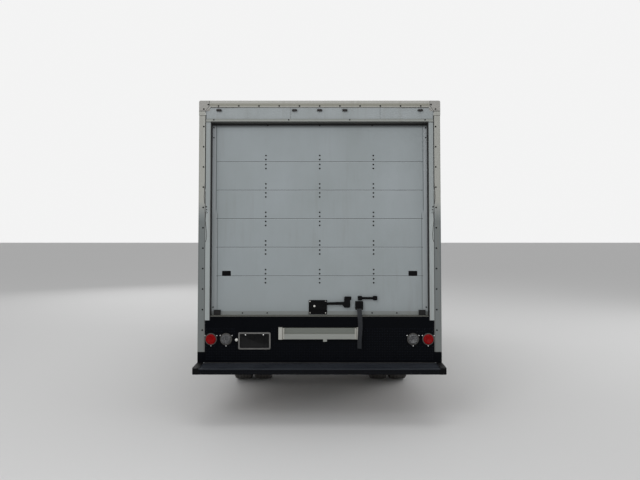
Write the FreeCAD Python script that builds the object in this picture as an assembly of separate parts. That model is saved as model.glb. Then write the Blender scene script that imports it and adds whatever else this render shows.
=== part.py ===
import FreeCAD, Part

import math
import os

# A cab-over box truck with a roll-up rear door, a stowed walk ramp and a step bumper.
# Millimetres. +Y is forward, +X is the truck's right, +Z is up.
# The origin is on the ground, midway between the two bumpers and the two sides.

V = FreeCAD.Vector

# Wheels and axles
wheelbase = 3810.0
tyre_radius = 385.0
tyre_width = 215.0
bead_inset = 26.0
rim_seat_radius = 205.0
rim_wall = 8.0
front_track = 1664.0
rear_track = 1650.0
dual_spacing = 240.0
front_offset = 92.0
kingpin_inset = 136.0
kingpin_radius = 17.0
spindle_radius = 30.0
rear_stub_radius = 48.0
bolt_circle = 222.0
lug_count = 6
running_gap = 0.3
spring_width = 70.0
front_spring_half = 600.0
rear_spring_half = 640.0
front_leaf_stack = 48.0
rear_leaf_stack = 78.0
axle_tube_radius = 66.0
disc_thickness = 9.0
disc_bore = 78.0
ear_thickness = 26.0
ear_length = 54.0
steering_arm_length = 205.0
steering_arm_width = 30.0
steering_arm_thickness = 18.0
tie_rod_radius = 15.0
tie_rod_eye = 19.0
ball_pin = 9.0

# Ladder frame
rail_top = 770.0
rail_depth = 200.0
rail_flange = 62.0
rail_wall = 7.0
frame_width = 850.0
front_overhang = 1100.0
frame_rear_gap = 12.0
crossmember_depth = 110.0
crossmember_width = 90.0
pivot_pin_radius = 14.0
pivot_pin_length = 36.0
gearbox_reach = 1100.0
rest_tube = 26.0

# Cargo box
box_length = 4880.0
box_width = 2438.0
box_height = 2164.0
wall_thickness = 35.0
front_corner_radius = 110.0
rear_overhang = 1840.0
cab_gap = 160.0
long_sill_height = 127.0
cross_sill_height = 75.0
deck_thickness = 28.0
threshold_depth = 55.0
threshold_thickness = 6.0

# Rear frame and door
post_width = 74.0
post_depth = 90.0
post_drop = 355.0
inner_post_width = 52.0
inner_post_drop = 42.0
post_slit = 8.0
top_rail_height = 67.0
header_height = 120.0
header_trim = 31.0
door_strip = 5.0
door_thickness = 25.0
door_panel_height = 290.0
door_bottom_panel = 394.0
door_middle_panels = 4
door_side_lap = 40.0
door_top_lap = 15.0

# Rear sill, bumper and ramp
sill_band = 101.0
bumper_drop = 460.0
bumper_depth = 300.0
bumper_lip = 54.0
bumper_cap = 64.0
ramp_width = 736.0
ramp_guide_width = 36.0
ramp_guide_gap = 4.0
ramp_length = 2850.0
ramp_thickness = 96.0
ramp_travel = 2300.0
tab_x = 54.0
ramp_fold = 51.0

# Cab
cab_length = 1640.0
cab_half_width = 1020.0
cab_roof = 2250.0
cab_wall = 42.0
cab_skirt = 680.0
cab_pivot_inset = 86.0
cab_pivot_height = 650.0
belt_line = 1300.0
foot_floor = 830.0
seat_deck = 1130.0
arch_radius = 480.0
arch_liner = 6.0
glass_thickness = 6.0
door_gap = 6.0
door_corner_swing = 94.6
front_bumper_reach = 70.0
front_bumper_height = 190.0
front_bumper_gap = 74.0
nose_bow_radius = 5200.0
nose_corner_radius = 190.0
back_corner_radius = 60.0
roof_edge_radius = 85.0
step_bottom = 470.0
step_width = 260.0
step_wall = 40.0
lug_gap = 10.0
lug_thickness = 18.0
floor_thickness = 40.0
hinge_barrel = 36.0
hinge_barrel_radius = 11.0
hinge_pin = 5.0
grille_low = 760.0
grille_high = 1010.0
grille_half = 640.0
steer_x = -470.0
steer_radius = 215.0
hub_depth = 50.0
mirror_reach = 250.0

# Latch, strap, tracks, lamps and plate
runner_height = 9.0
lower_rail_height = 150.0
grip_x = 945.0
latch_x = -18.0
latch_plate_width = 185.0
latch_plate_height = 143.0
lever_length = 205.0
strap_x = 399.0
strap_width = 46.0
strap_thickness = 3.0
track_depth = 52.0
track_wall = 3.0
track_bend = 110.0
track_drop = 20.0
track_run = 2150.0
track_gap = 3.0
lamp_radius = 52.0
stop_lamp_x = 1083.0
reverse_lamp_x = 932.0
lamp_drop = 228.0
pocket_top = 112.0
pocket_bottom = 233.0
riser_skin = 5.0
marker_x = (1017.0, 254.0)
marker_height = 32.0
plate_x = -649.0
plate_width = 305.0
plate_height = 152.0
plate_bolt_spacing = 178.0
plate_bolt_radius = 3.5
plate_drop = 245.0
plate_bolt_inset = 17.0

# Engine, exhaust, tank and battery box
engine_length = 860.0
engine_half_width = 285.0
engine_bottom = 470.0
engine_top = 990.0
muffler_radius = 118.0
tank_length = 900.0
tank_width = 420.0
tank_height = 330.0

# Positions that follow from the sizes above
rear_face = -(box_length + cab_gap + cab_length + front_bumper_reach - bumper_depth) / 2
box_front = rear_face + box_length
cab_back = box_front + cab_gap
cab_front = cab_back + cab_length
nose = cab_front + front_bumper_reach
rear_axle_y = rear_face + rear_overhang
front_axle_y = rear_axle_y + wheelbase
hub_height = tyre_radius
rail_bottom = rail_top - rail_depth
rail_outer = frame_width / 2
rail_inner = rail_outer - rail_flange
sill_bottom = rail_top
cross_bottom = sill_bottom + long_sill_height
deck_bottom = cross_bottom + cross_sill_height
floor_top = deck_bottom + deck_thickness
deck_rear = rear_face + post_depth + threshold_depth
box_top = floor_top + box_height
half_box = box_width / 2
door_opening_top = box_top - top_rail_height - header_height - header_trim
door_half_opening = half_box - post_width - inner_post_width
door_face = rear_face + post_depth + running_gap + door_strip
bumper_top = floor_top - bumper_drop
pivot_y = cab_front - cab_pivot_inset
pivot_z = cab_pivot_height
rail_front = pivot_y + 14.0
rest_height = seat_deck - cab_wall - 18.0
front_spring_x = rail_outer - rail_flange / 2
rear_spring_x = rail_outer + 60.0
axle_beam_top = hub_height + 18.0
boss_low = axle_beam_top - 95.0
boss_high = axle_beam_top + 25.0
kingpin_x = front_track / 2 - kingpin_inset
front_spring_seat = hub_height + 50.0
muffler_x = rail_outer + 170.0
strap_top = floor_top + 53.0
seat_front = front_axle_y + 380.0
hinge_x = cab_half_width + 12.0
hinge_y = cab_front - 170.0 + 4.0
hinge_heights = (belt_line - 470.0, belt_line - 60.0)
steer_centre = V(steer_x, cab_front - 640.0, belt_line + 120.0)
steer_axis = V(0, -0.62, 0.785).normalize()


def block(x0, x1, y0, y1, z0, z1):
    return Part.makeBox(x1 - x0, y1 - y0, z1 - z0, V(x0, y0, z0))


def rod(start, end, radius):
    return Part.makeCylinder(radius, (end - start).Length, start, end - start)


def tube(start, end, radius, bore):
    return rod(start, end, radius).cut(rod(start, end, bore))


def fuse(shapes):
    whole = shapes[0]
    for shape in shapes[1:]:
        whole = whole.fuse(shape)
    return whole.removeSplitter()


def group(shapes):
    return Part.makeCompound(shapes)


def mirrored(shape):
    return shape.mirror(V(0, 0, 0), V(1, 0, 0))


def both_sides(shape):
    return [shape, mirrored(shape)]


def in_side_view(x):
    return lambda u, v: V(x, u, v)


def in_rear_view(y):
    return lambda u, v: V(u, y, v)


def in_plan(z):
    return lambda u, v: V(u, v, z)


def outline(corners, place):
    """A closed wire through corners (u, v) or (u, v, radius), with each radius as an arc."""
    points = [FreeCAD.Base.Vector2d(c[0], c[1]) for c in corners]
    stretches = []
    count = len(points)
    for i, corner in enumerate(corners):
        radius = corner[2] if len(corner) > 2 else 0.0
        here, before, after = points[i], points[i - 1], points[(i + 1) % count]
        back = ((before.x - here.x), (before.y - here.y))
        ahead = ((after.x - here.x), (after.y - here.y))
        back_length, ahead_length = math.hypot(*back), math.hypot(*ahead)
        back = (back[0] / back_length, back[1] / back_length)
        ahead = (ahead[0] / ahead_length, ahead[1] / ahead_length)
        if radius <= 0:
            stretches.append(((here.x, here.y), None, (here.x, here.y)))
            continue
        half = math.acos(max(-1.0, min(1.0, back[0] * ahead[0] + back[1] * ahead[1]))) / 2
        reach = radius / math.tan(half)
        middle = (back[0] + ahead[0], back[1] + ahead[1])
        length = math.hypot(*middle)
        depth = radius / math.sin(half) - radius
        stretches.append((
            (here.x + back[0] * reach, here.y + back[1] * reach),
            (here.x + middle[0] / length * depth, here.y + middle[1] / length * depth),
            (here.x + ahead[0] * reach, here.y + ahead[1] * reach),
        ))
    edges = []
    for i, (first, mid, last) in enumerate(stretches):
        if mid is not None:
            edges.append(Part.Arc(place(*first), place(*mid), place(*last)).toShape())
        following = stretches[(i + 1) % count][0]
        if math.dist(last, following) > 1e-6:
            edges.append(Part.LineSegment(place(*last), place(*following)).toShape())
    return Part.Wire(edges)


def prism(corners, place, along):
    return Part.Face(outline(corners, place)).extrude(along)


def side_prism(corners, x0, x1):
    return prism(corners, in_side_view(x0), V(x1 - x0, 0, 0))


def rear_prism(corners, y0, y1):
    return prism(corners, in_rear_view(y0), V(0, y1 - y0, 0))


def plan_prism(corners, z0, z1):
    return prism(corners, in_plan(z0), V(0, 0, z1 - z0))


def turned(profile, centre):
    """A solid of revolution about the X direction through centre; profile is (x, radius) corners."""
    face = Part.Face(outline(profile, lambda u, v: centre + V(u, 0, v)))
    return face.revolve(centre, V(1, 0, 0), 360)


def ring_of(shape, centre, count):
    """Copies of shape, evenly spaced about the X direction through centre."""
    copies = []
    for i in range(count):
        copy = shape.copy()
        copy.rotate(centre, V(1, 0, 0), 360.0 * i / count)
        copies.append(copy)
    return copies


def export(name, shape):
    os.makedirs("parts", exist_ok=True)
    shape.exportStep(f"parts/{name}.step")


# Ladder frame

def channel_rail():
    """The right rail, a channel that opens inward and runs straight from end to end."""
    web_inner = rail_outer - rail_wall
    flat = [
        (rail_outer, rail_bottom, rail_wall),
        (rail_outer, rail_top, rail_wall),
        (rail_inner, rail_top),
        (rail_inner, rail_top - rail_wall),
        (web_inner, rail_top - rail_wall),
        (web_inner, rail_bottom + rail_wall),
        (rail_inner, rail_bottom + rail_wall),
        (rail_inner, rail_bottom),
    ]
    return rear_prism(flat, rear_face + frame_rear_gap, rail_front)


def crossmember(y):
    """A channel between the two webs, high enough to clear the propeller shaft."""
    half = rail_outer - rail_wall
    low = rail_top - rail_wall - crossmember_depth
    outer = block(-half, half, y, y + crossmember_width, low, low + crossmember_depth)
    hollow = block(-half, half, y + rail_wall, y + crossmember_width,
                   low + rail_wall, low + crossmember_depth - rail_wall)
    return outer.cut(hollow)


def crossmember_places():
    gearbox_back = front_axle_y - gearbox_reach
    last = rear_face + frame_rear_gap
    spaced = [gearbox_back - 240.0, gearbox_back - 1150.0, rear_axle_y + 640.0, rear_axle_y - 560.0]
    return spaced + [last + 60.0]


def ladder_frame():
    rails = both_sides(channel_rail())
    members = [crossmember(y) for y in crossmember_places()]
    front_tube = rod(V(-rail_outer + rail_wall, pivot_y - 95, pivot_z - 40),
                     V(rail_outer - rail_wall, pivot_y - 95, pivot_z - 40), 38)
    pins = both_sides(rod(V(rail_outer - 1, pivot_y, pivot_z),
                          V(rail_outer + pivot_pin_length, pivot_y, pivot_z), pivot_pin_radius))
    heads = both_sides(rod(V(rail_outer + pivot_pin_length, pivot_y, pivot_z),
                           V(rail_outer + pivot_pin_length + 6, pivot_y, pivot_z), pivot_pin_radius + 6))
    return fuse(rails + members + [front_tube] + pins + heads + cab_rest())


def cab_rest():
    """The arch behind the engine on which the cab's rear floor lies, with a rubber pad at each side."""
    y = cab_back + 90.0
    x = rail_outer - rail_flange / 2
    legs = both_sides(block(x - 30, x + 30, y - 25, y + 25, rail_top - 1, rest_height - rest_tube - 4))
    across = rod(V(-x, y, rest_height - rest_tube), V(x, y, rest_height - rest_tube), rest_tube)
    ends = both_sides(rod(V(x - 1, y, rest_height - rest_tube), V(x + 32, y, rest_height - rest_tube),
                          rest_tube))
    pads = both_sides(rod(V(x, y, rest_height - 8), V(x, y, seat_deck - floor_thickness - running_gap), 30))
    return legs + [across] + ends + pads


# Axles and springs


def leaf_pack(x, axle_y, half_length, seat_z, eye_z, stack):
    """A stack of bowed leaves, longest on top, with rolled eyes and a hanger at each end."""
    leaves = []
    steps = 4
    each = stack / steps
    for i in range(steps):
        reach = half_length * (1 - 0.2 * i)
        top = seat_z + stack - each * i
        rise = (eye_z - seat_z - stack) * (reach / half_length) ** 2
        upper = Part.Arc(V(x, axle_y - reach, top + rise), V(x, axle_y, top),
                         V(x, axle_y + reach, top + rise))
        lower = Part.Arc(V(x, axle_y + reach, top + rise - each), V(x, axle_y, top - each),
                         V(x, axle_y - reach, top + rise - each))
        ends = [
            Part.LineSegment(V(x, axle_y + reach, top + rise), V(x, axle_y + reach, top + rise - each)),
            Part.LineSegment(V(x, axle_y - reach, top + rise - each), V(x, axle_y - reach, top + rise)),
        ]
        wire = Part.Wire([upper.toShape(), ends[0].toShape(), lower.toShape(), ends[1].toShape()])
        leaves.append(Part.Face(wire).extrude(V(spring_width, 0, 0)))
    eyes = []
    for end in (-1, 1):
        centre = V(x, axle_y + end * half_length, eye_z - each / 2)
        eyes.append(rod(centre, centre + V(spring_width, 0, 0), each * 1.4))
    return fuse(leaves + eyes)


def hanger(x0, x1, y, eye_z, top):
    """A cast spring bracket from the eye up to the rail."""
    return side_prism([(y - 34, eye_z - 34, 20), (y + 34, eye_z - 34, 20), (y + 55, top), (y - 55, top)],
                      x0, x1)


def front_axle():
    """A forged beam that drops between the kingpins, with a leaf pack under each rail."""
    half = kingpin_x
    drop = 90.0
    top = axle_beam_top
    beam = rear_prism([
        (-half, top - 62), (-half + 150, top - 62, 60), (-half + 290, top - 70 - drop, 60),
        (half - 290, top - 70 - drop, 60), (half - 150, top - 62, 60), (half, top - 62),
        (half, top), (half - 130, top, 60), (half - 260, top - drop, 60),
        (-half + 260, top - drop, 60), (-half + 130, top, 60), (-half, top),
    ], front_axle_y - 45, front_axle_y + 45)
    groove = 28.0
    for side in (-1, 1):
        y0 = front_axle_y + side * 45 - (groove if side > 0 else 0)
        pocket = rear_prism([
            (-half + 320, top - 54 - drop, 10), (half - 320, top - 54 - drop, 10),
            (half - 320, top - drop - 16, 10), (-half + 320, top - drop - 16, 10),
        ], y0, y0 + groove)
        beam = beam.cut(pocket)
    bosses = both_sides(rod(V(half, front_axle_y, boss_low), V(half, front_axle_y, boss_high), 42))
    bores = both_sides(rod(V(half, front_axle_y, boss_low - 5), V(half, front_axle_y, boss_high + 5),
                           kingpin_radius + running_gap))
    seat = top - drop
    pads = both_sides(block(front_spring_x - 45, front_spring_x + 45, front_axle_y - 70, front_axle_y + 70,
                            seat - 30, front_spring_seat))
    springs = both_sides(leaf_pack(front_spring_x - spring_width / 2, front_axle_y, front_spring_half,
                                   front_spring_seat, rail_bottom - 42, front_leaf_stack))
    hangers = []
    for end in (-1, 1):
        y = front_axle_y + end * front_spring_half
        hangers += both_sides(hanger(front_spring_x - 30, front_spring_x + 30, y, rail_bottom - 48,
                                     rail_bottom - running_gap))
    return fuse([beam] + bosses + pads + springs + hangers).cut(group(bores))


def rear_axle():
    """A drive axle with a round differential case and two leaf packs outside the rails."""
    y, z = rear_axle_y, hub_height
    half = rear_track / 2 - 156.0
    axle = rod(V(-half, y, z), V(half, y, z), axle_tube_radius)
    case = Part.makeSphere(178, V(0, y, z))
    case = case.common(block(-118, 118, y - 178, y + 178, z - 178, z + 178))
    nose_cone = Part.makeCone(110, 62, 210, V(0, y + 110, z + 10), V(0, 1, 0.03))
    flange_ring = rod(V(-60, y, z), V(60, y, z), 186)
    stubs = both_sides(rod(V(half - 1, y, z), V(rear_track / 2, y, z), rear_stub_radius))
    springs = both_sides(leaf_pack(rear_spring_x - spring_width / 2, y, rear_spring_half,
                                   z + axle_tube_radius - 6, rail_bottom + 30, rear_leaf_stack))
    hangers = []
    for end in (-1, 1):
        hangers += both_sides(hanger(rail_outer + running_gap, rear_spring_x + spring_width / 2 + 8,
                                     y + end * rear_spring_half, rail_bottom + 22, rail_bottom + 130))
    bolts = []
    for end in (-1, 1):
        for side in (-1, 1):
            x = rear_spring_x + side * (spring_width / 2 + 8)
            bolts += both_sides(rod(V(x, y + end * 82, z - 74), V(x, y + end * 82, z + 150), 9))
    plates = both_sides(block(rear_spring_x - 52, rear_spring_x + 52, y - 100, y + 100, z + 140, z + 156))
    low_plates = both_sides(block(rear_spring_x - 52, rear_spring_x + 52, y - 100, y + 100, z - 78, z - 56))
    return fuse([axle, case, nose_cone, flange_ring] + stubs + springs + hangers + bolts + plates
                + low_plates)


# Engine, gearbox, propeller shaft, exhaust and the boxes on the rails


def powertrain():
    """A plain engine block on its mounts, the gearbox behind it and the shaft to the rear axle."""
    front = seat_front - cab_wall - 60.0
    back = front - engine_length
    engine = block(-engine_half_width, engine_half_width, back, front, engine_bottom, engine_top)
    mounts = both_sides(block(engine_half_width - 1, rail_outer - rail_wall - running_gap, front - 330,
                              front - 210,
                              rail_bottom + 60, rail_bottom + 130))
    gearbox = side_prism([
        (back + 1, engine_bottom + 20), (back + 1, engine_top - 190),
        (back - 230, engine_top - 290, 40), (front_axle_y - gearbox_reach, engine_top - 330),
        (front_axle_y - gearbox_reach, engine_bottom + 60), (back - 210, engine_bottom + 30, 40),
    ], -165, 165)
    start = V(0, front_axle_y - gearbox_reach + 2, engine_bottom + 130)
    end = V(0, rear_axle_y + 334, hub_height + 17)
    shaft = rod(start, end, 45)
    yokes = [Part.makeSphere(66, start), rod(end, end + (start - end).normalize() * 60, 60)]
    return fuse([engine, gearbox, shaft] + mounts + yokes)


def exhaust():
    """A muffler outside the right rail, with its pipe from the engine and a tail pipe behind."""
    y0 = front_axle_y - 1500.0
    y1 = y0 + 760.0
    z = rail_bottom + 30.0
    muffler = rod(V(muffler_x, y0, z), V(muffler_x, y1, z), muffler_radius)
    caps = [Part.makeCone(muffler_radius, 46, 60, V(muffler_x, y1 - 0.5, z), V(0, 1, 0)),
            Part.makeCone(muffler_radius, 46, 60, V(muffler_x, y0 + 0.5, z), V(0, -1, 0))]
    under = engine_bottom - 55.0
    head_pipe = bent_pipe([V(muffler_x, y1 + 40, z), V(muffler_x, y1 + 150, z),
                           V(muffler_x - 60, y1 + 290, under),
                           V(engine_half_width - 20, y1 + 400, under),
                           V(engine_half_width - 110, y1 + 470, engine_bottom + 60)], 34)
    head_pipe = head_pipe.cut(block(-300, 300, y1, y1 + 700, engine_bottom - running_gap,
                                    engine_bottom + 300))
    tail = bent_pipe([V(muffler_x, y0 - 40, z), V(muffler_x, y0 - 260, z),
                      V(muffler_x + 250, y0 - 470, z - 40),
                      V(half_box - 90, y0 - 520, z - 60)], 34)
    straps = []
    for y in (y0 + 140, y1 - 140):
        band = tube(V(muffler_x, y - 14, z), V(muffler_x, y + 14, z), muffler_radius + 6, muffler_radius - 2)
        arm = block(rail_outer + running_gap, muffler_x - muffler_radius + 20, y - 14, y + 14, z + 10, z + 40)
        straps += [band, arm]
    return fuse([muffler, head_pipe, tail] + caps + straps)


def bent_pipe(points, radius):
    """A round pipe along straight runs joined by tangent arcs."""
    path = bent_path(points, radius * 2.4)
    start = path.Edges[0].Curve.value(path.Edges[0].FirstParameter)
    direction = (points[1] - points[0]).normalize()
    circle = Part.Wire([Part.Circle(start, direction, radius).toShape()])
    pipe = path.makePipeShell([circle], True, True)
    return Part.Solid(pipe) if pipe.ShapeType != "Solid" else pipe


def bent_path(points, bend_radius):
    edges = []
    start = points[0]
    for before, here, after in zip(points, points[1:], points[2:]):
        back = (before - here).normalize()
        ahead = (after - here).normalize()
        half = back.getAngle(ahead) / 2
        reach = bend_radius / math.tan(half)
        first = here + back * reach
        last = here + ahead * reach
        middle = here + (back + ahead).normalize() * (bend_radius / math.sin(half) - bend_radius)
        edges.append(Part.LineSegment(start, first).toShape())
        edges.append(Part.Arc(first, middle, last).toShape())
        start = last
    edges.append(Part.LineSegment(start, points[-1]).toShape())
    return Part.Wire(edges)


def fuel_tank():
    """A rounded tank on two straps outside the left rail, with its filler neck."""
    y0 = rear_axle_y + 900.0
    x1 = -rail_outer - 34.0
    x0 = x1 - tank_width
    z1 = rail_top - 30.0
    z0 = z1 - tank_height
    r = 60.0
    tank = rear_prism([(x0, z0, r), (x1, z0, r), (x1, z1, r), (x0, z1, r)], y0, y0 + tank_length)
    straps = []
    for y in (y0 + 170, y0 + tank_length - 210):
        outer = rear_prism([(x0 - 5, z0 - 5, r), (x1 + 5, z0 - 5, r), (x1 + 5, z1 + 5, r),
                            (x0 - 5, z1 + 5, r)],
                           y, y + 40)
        bracket = block(x1 - 1, -rail_outer - running_gap, y - 5, y + 45, rail_bottom + 10, rail_top - 40)
        straps += [outer, bracket]
    neck = rod(V(x0 + 70, y0 + tank_length - 90, z1 - 60), V(x0 - 34, y0 + tank_length - 90, z1 + 10), 32)
    cap = rod(V(x0 - 30, y0 + tank_length - 90, z1 + 7), V(x0 - 52, y0 + tank_length - 90, z1 + 22), 42)
    return fuse([tank, neck, cap] + straps)


def battery_box():
    """A lidded box with ribbed cover outside the left rail, ahead of the tank."""
    y0 = rear_axle_y + 900.0 + tank_length + 90.0
    x1 = -rail_outer - running_gap
    x0 = x1 - 330.0
    z0 = rail_bottom + 10.0
    z1 = rail_top - 20.0
    case = block(x0 + 8, x1, y0 + 8, y0 + 372, z0, z1 - 40)
    lid = plan_prism([(x0, y0, 25), (x1, y0), (x1, y0 + 380), (x0, y0 + 380, 25)], z1 - 40, z1)
    ribs = [block(x0 + 60 + 70 * i, x0 + 84 + 70 * i, y0 + 30, y0 + 350, z1 - 1, z1 + 6) for i in range(4)]
    return fuse([case, lid] + ribs)


def mud_flaps():
    """A hanging flap behind each pair of rear wheels, on its bracket from the rail."""
    y = rear_axle_y - tyre_radius - 130.0
    x0 = rear_track / 2 - 300.0
    x1 = rear_track / 2 + 260.0
    flap = rear_prism([(x0, 210, 30), (x1, 210, 30), (x1, rail_bottom + 100), (x0, rail_bottom + 100)], y,
                      y + 10)
    arm = block(rail_outer + running_gap, x1, y - 30, y, rail_bottom + 62, rail_bottom + 100)
    return group(both_sides(fuse([flap, arm])))


# Cargo box

def box_floor():
    """Deck boards on cross sills, on two long sills that sit on the rails."""
    y0 = rear_face + post_depth
    y1 = box_front - wall_thickness - running_gap
    half = half_box - wall_thickness - running_gap
    corner = front_corner_radius - wall_thickness + 5
    deck = plan_prism([(-half, deck_rear), (half, deck_rear), (half, y1, corner), (-half, y1, corner)],
                      deck_bottom, floor_top)
    side_inset = corner + 5
    sills = []
    count = 13
    width = 46.0
    for i in range(count):
        y = y0 + 40 + (y1 - y0 - 80 - width) * i / (count - 1)
        reach = half if i < count - 1 else half - side_inset
        beam = block(-reach, reach, y, y + width, cross_bottom, deck_bottom + 0.5)
        for side in (0, 1):
            low = y if side == 0 else y + width / 2 + 3
            high = y + width / 2 - 3 if side == 0 else y + width
            beam = beam.cut(block(-half, half, low, high, cross_bottom + 6, deck_bottom - 6))
        sills.append(beam)
    web = 6.0
    near = ramp_width / 2 + 12
    far = near + 50
    foot = sill_bottom + running_gap
    long_sill = rear_prism([
        (near, foot), (far, foot), (far, foot + web), (near + web, foot + web),
        (near + web, cross_bottom - web), (far, cross_bottom - web), (far, cross_bottom + 0.5),
        (near, cross_bottom + 0.5),
    ], y0, y1)
    runner = block(near - 38, near + 1, y0, y0 + ramp_length + 60, foot, sill_bottom + runner_height)
    return fuse([deck] + sills + both_sides(long_sill) + both_sides(runner))


def side_wall():
    """The right wall: skin and liner as one panel, with a lower rail and an upper cove rail."""
    y0 = rear_face + post_depth + running_gap
    y1 = box_front - front_corner_radius
    x1 = half_box - 4
    x0 = half_box - wall_thickness
    low = cross_bottom - 6
    panel = block(x0, x1, y0, y1, low, box_top - 46)
    rail = rear_prism([(x1 - 1, low), (half_box, low + 4), (half_box, low + lower_rail_height - 12),
                       (x1 - 1, low + lower_rail_height)], y0, y1)
    rub = rear_prism([(x1 - 1, low + 30), (half_box, low + 30), (half_box, low + 60), (x1 - 1, low + 60)],
                     y0, y1)
    upper = rear_prism([(x1 - 1, box_top - 150), (half_box, box_top - 142), (half_box, box_top - 46),
                        (x1 - 1, box_top - 46)], y0, y1)
    return fuse([panel, rail, rub, upper])


def front_wall():
    """The bulkhead, wrapped round both front corners to meet the side walls."""
    r = front_corner_radius
    outer = [(-half_box, box_front - r), (-half_box, box_front, r - 0.5), (half_box, box_front, r - 0.5),
             (half_box, box_front - r)]
    inner_half = half_box - wall_thickness
    inner = [(inner_half, box_front - r), (inner_half, box_front - wall_thickness, r - wall_thickness),
             (-inner_half, box_front - wall_thickness, r - wall_thickness), (-inner_half, box_front - r)]
    low = cross_bottom - 6
    return plan_prism(outer + inner, low, box_top - 46)


def box_roof():
    """A thin crowned roof with rounded edges, seated on the walls."""
    y0 = rear_face + post_depth + running_gap
    crown = 14.0
    edge = box_top - 46 + running_gap
    half = half_box
    section = [
        (-half, edge), (half, edge), (half, box_top - crown, 22), (0, box_top, 3000),
        (-half, box_top - crown, 22),
    ]
    roof = rear_prism(section, y0, box_front)
    corner = plan_prism([(-half - 5, box_front + 5), (-half - 5, box_front - front_corner_radius),
                         (-half, box_front - front_corner_radius),
                         (-half, box_front, front_corner_radius - 0.5),
                         (half, box_front, front_corner_radius - 0.5),
                         (half, box_front - front_corner_radius),
                         (half + 5, box_front - front_corner_radius), (half + 5, box_front + 5)],
                        edge - 1, box_top + 5)
    hollow = block(-half + wall_thickness, half - wall_thickness, y0 + 30, box_front - wall_thickness,
                   edge - 1, edge + 14)
    return roof.cut(corner).cut(hollow)


def rear_frame():
    """Two corner posts, the inner posts that guard the door, the top rail and the header."""
    y0 = rear_face
    y1 = rear_face + post_depth
    top = box_top
    casting_height = 150.0
    post = plan_prism([
        (half_box - post_width, y0), (half_box, y0, 14), (half_box, y1), (half_box - post_width, y1),
    ], floor_top - post_drop, top - casting_height - 3)
    casting = rear_prism([
        (half_box - 40, top - casting_height), (half_box, top - casting_height), (half_box, top, 16),
        (half_box - 128, top), (half_box - 128, top - 60), (half_box - post_width, top - 112),
        (half_box - post_width, top - casting_height),
    ], y0 - 2, y1)
    inner = block(half_box - post_width - inner_post_width, half_box - post_width - post_slit, y0 - 6, y1,
                  floor_top - inner_post_drop, door_opening_top)
    join = block(half_box - post_width - post_slit - 1, half_box - post_width + 1, y0 + 22, y1,
                 floor_top - inner_post_drop, door_opening_top)
    rail = rear_prism([(-half_box + 126, top - top_rail_height), (half_box - 126, top - top_rail_height),
                       (half_box - 126, top, 0), (-half_box + 126, top, 0)], y0, y1)
    inside = half_box - post_width + 1
    header = block(-inside, inside, y0 + 6, y1, door_opening_top + header_trim - 1, top - top_rail_height + 1)
    header = header.cut(group(both_sides(block(half_box - 129, half_box, y0 - 5, y1 - 20, top - 61, top))))
    trim = rear_prism([(-inside, door_opening_top), (inside, door_opening_top),
                       (inside, door_opening_top + header_trim), (-inside, door_opening_top + header_trim)],
                      y0 - 4, y1)
    pieces = [rail, header, trim]
    for piece in (post, casting, inner, join):
        pieces += both_sides(piece)
    return fuse(pieces)


def door_lines():
    """Heights of the joints between the door's panels, from the bottom."""
    first = floor_top + door_bottom_panel
    return [first + door_panel_height * i for i in range(door_middle_panels + 1)]


def rollup_door():
    """Hinged flat panels in a stack, with a metal bottom rail and end strips that carry the rollers."""
    half = door_half_opening + door_side_lap
    y0 = door_face
    y1 = door_face + door_thickness
    foot = floor_top + running_gap
    heights = [foot] + door_lines() + [door_opening_top + door_top_lap]
    groove = 4.0
    panels = []
    for low, high in zip(heights, heights[1:]):
        panels.append(block(-half, half, y0, y1, low, high - groove))
        panels.append(block(-half, half, y0 + 8, y1, high - groove - 1, high + 1) if high != heights[-1]
                      else block(-half, half, y0 + 8, y1, high - groove - 1, high))
    seen = door_half_opening - 3
    bottom_rail = rear_prism([(-seen, foot), (seen, foot), (seen, floor_top + 38), (-seen, floor_top + 38)],
                             y0 - door_strip, y0 + 1)
    strips = both_sides(block(seen - 40, half, y0 - door_strip, y0 + 1, floor_top + 37, door_opening_top - 3))
    stops = both_sides(block(seen - 90, seen - 24, y0 - 34, y0 + 1, foot, floor_top + 52))
    door = fuse(panels + [bottom_rail] + strips + stops)
    grip_height = 52.0
    grip_width = 90.0
    grip_z = door_lines()[0] - 3
    grips = both_sides(rear_prism([
        (grip_x - grip_width / 2, grip_z, 8), (grip_x + grip_width / 2, grip_z, 8),
        (grip_x + grip_width / 2, grip_z + grip_height, 8),
        (grip_x - grip_width / 2, grip_z + grip_height, 8),
    ], y0 - 1, y0 + 17))
    return door.cut(group(grips))


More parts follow.
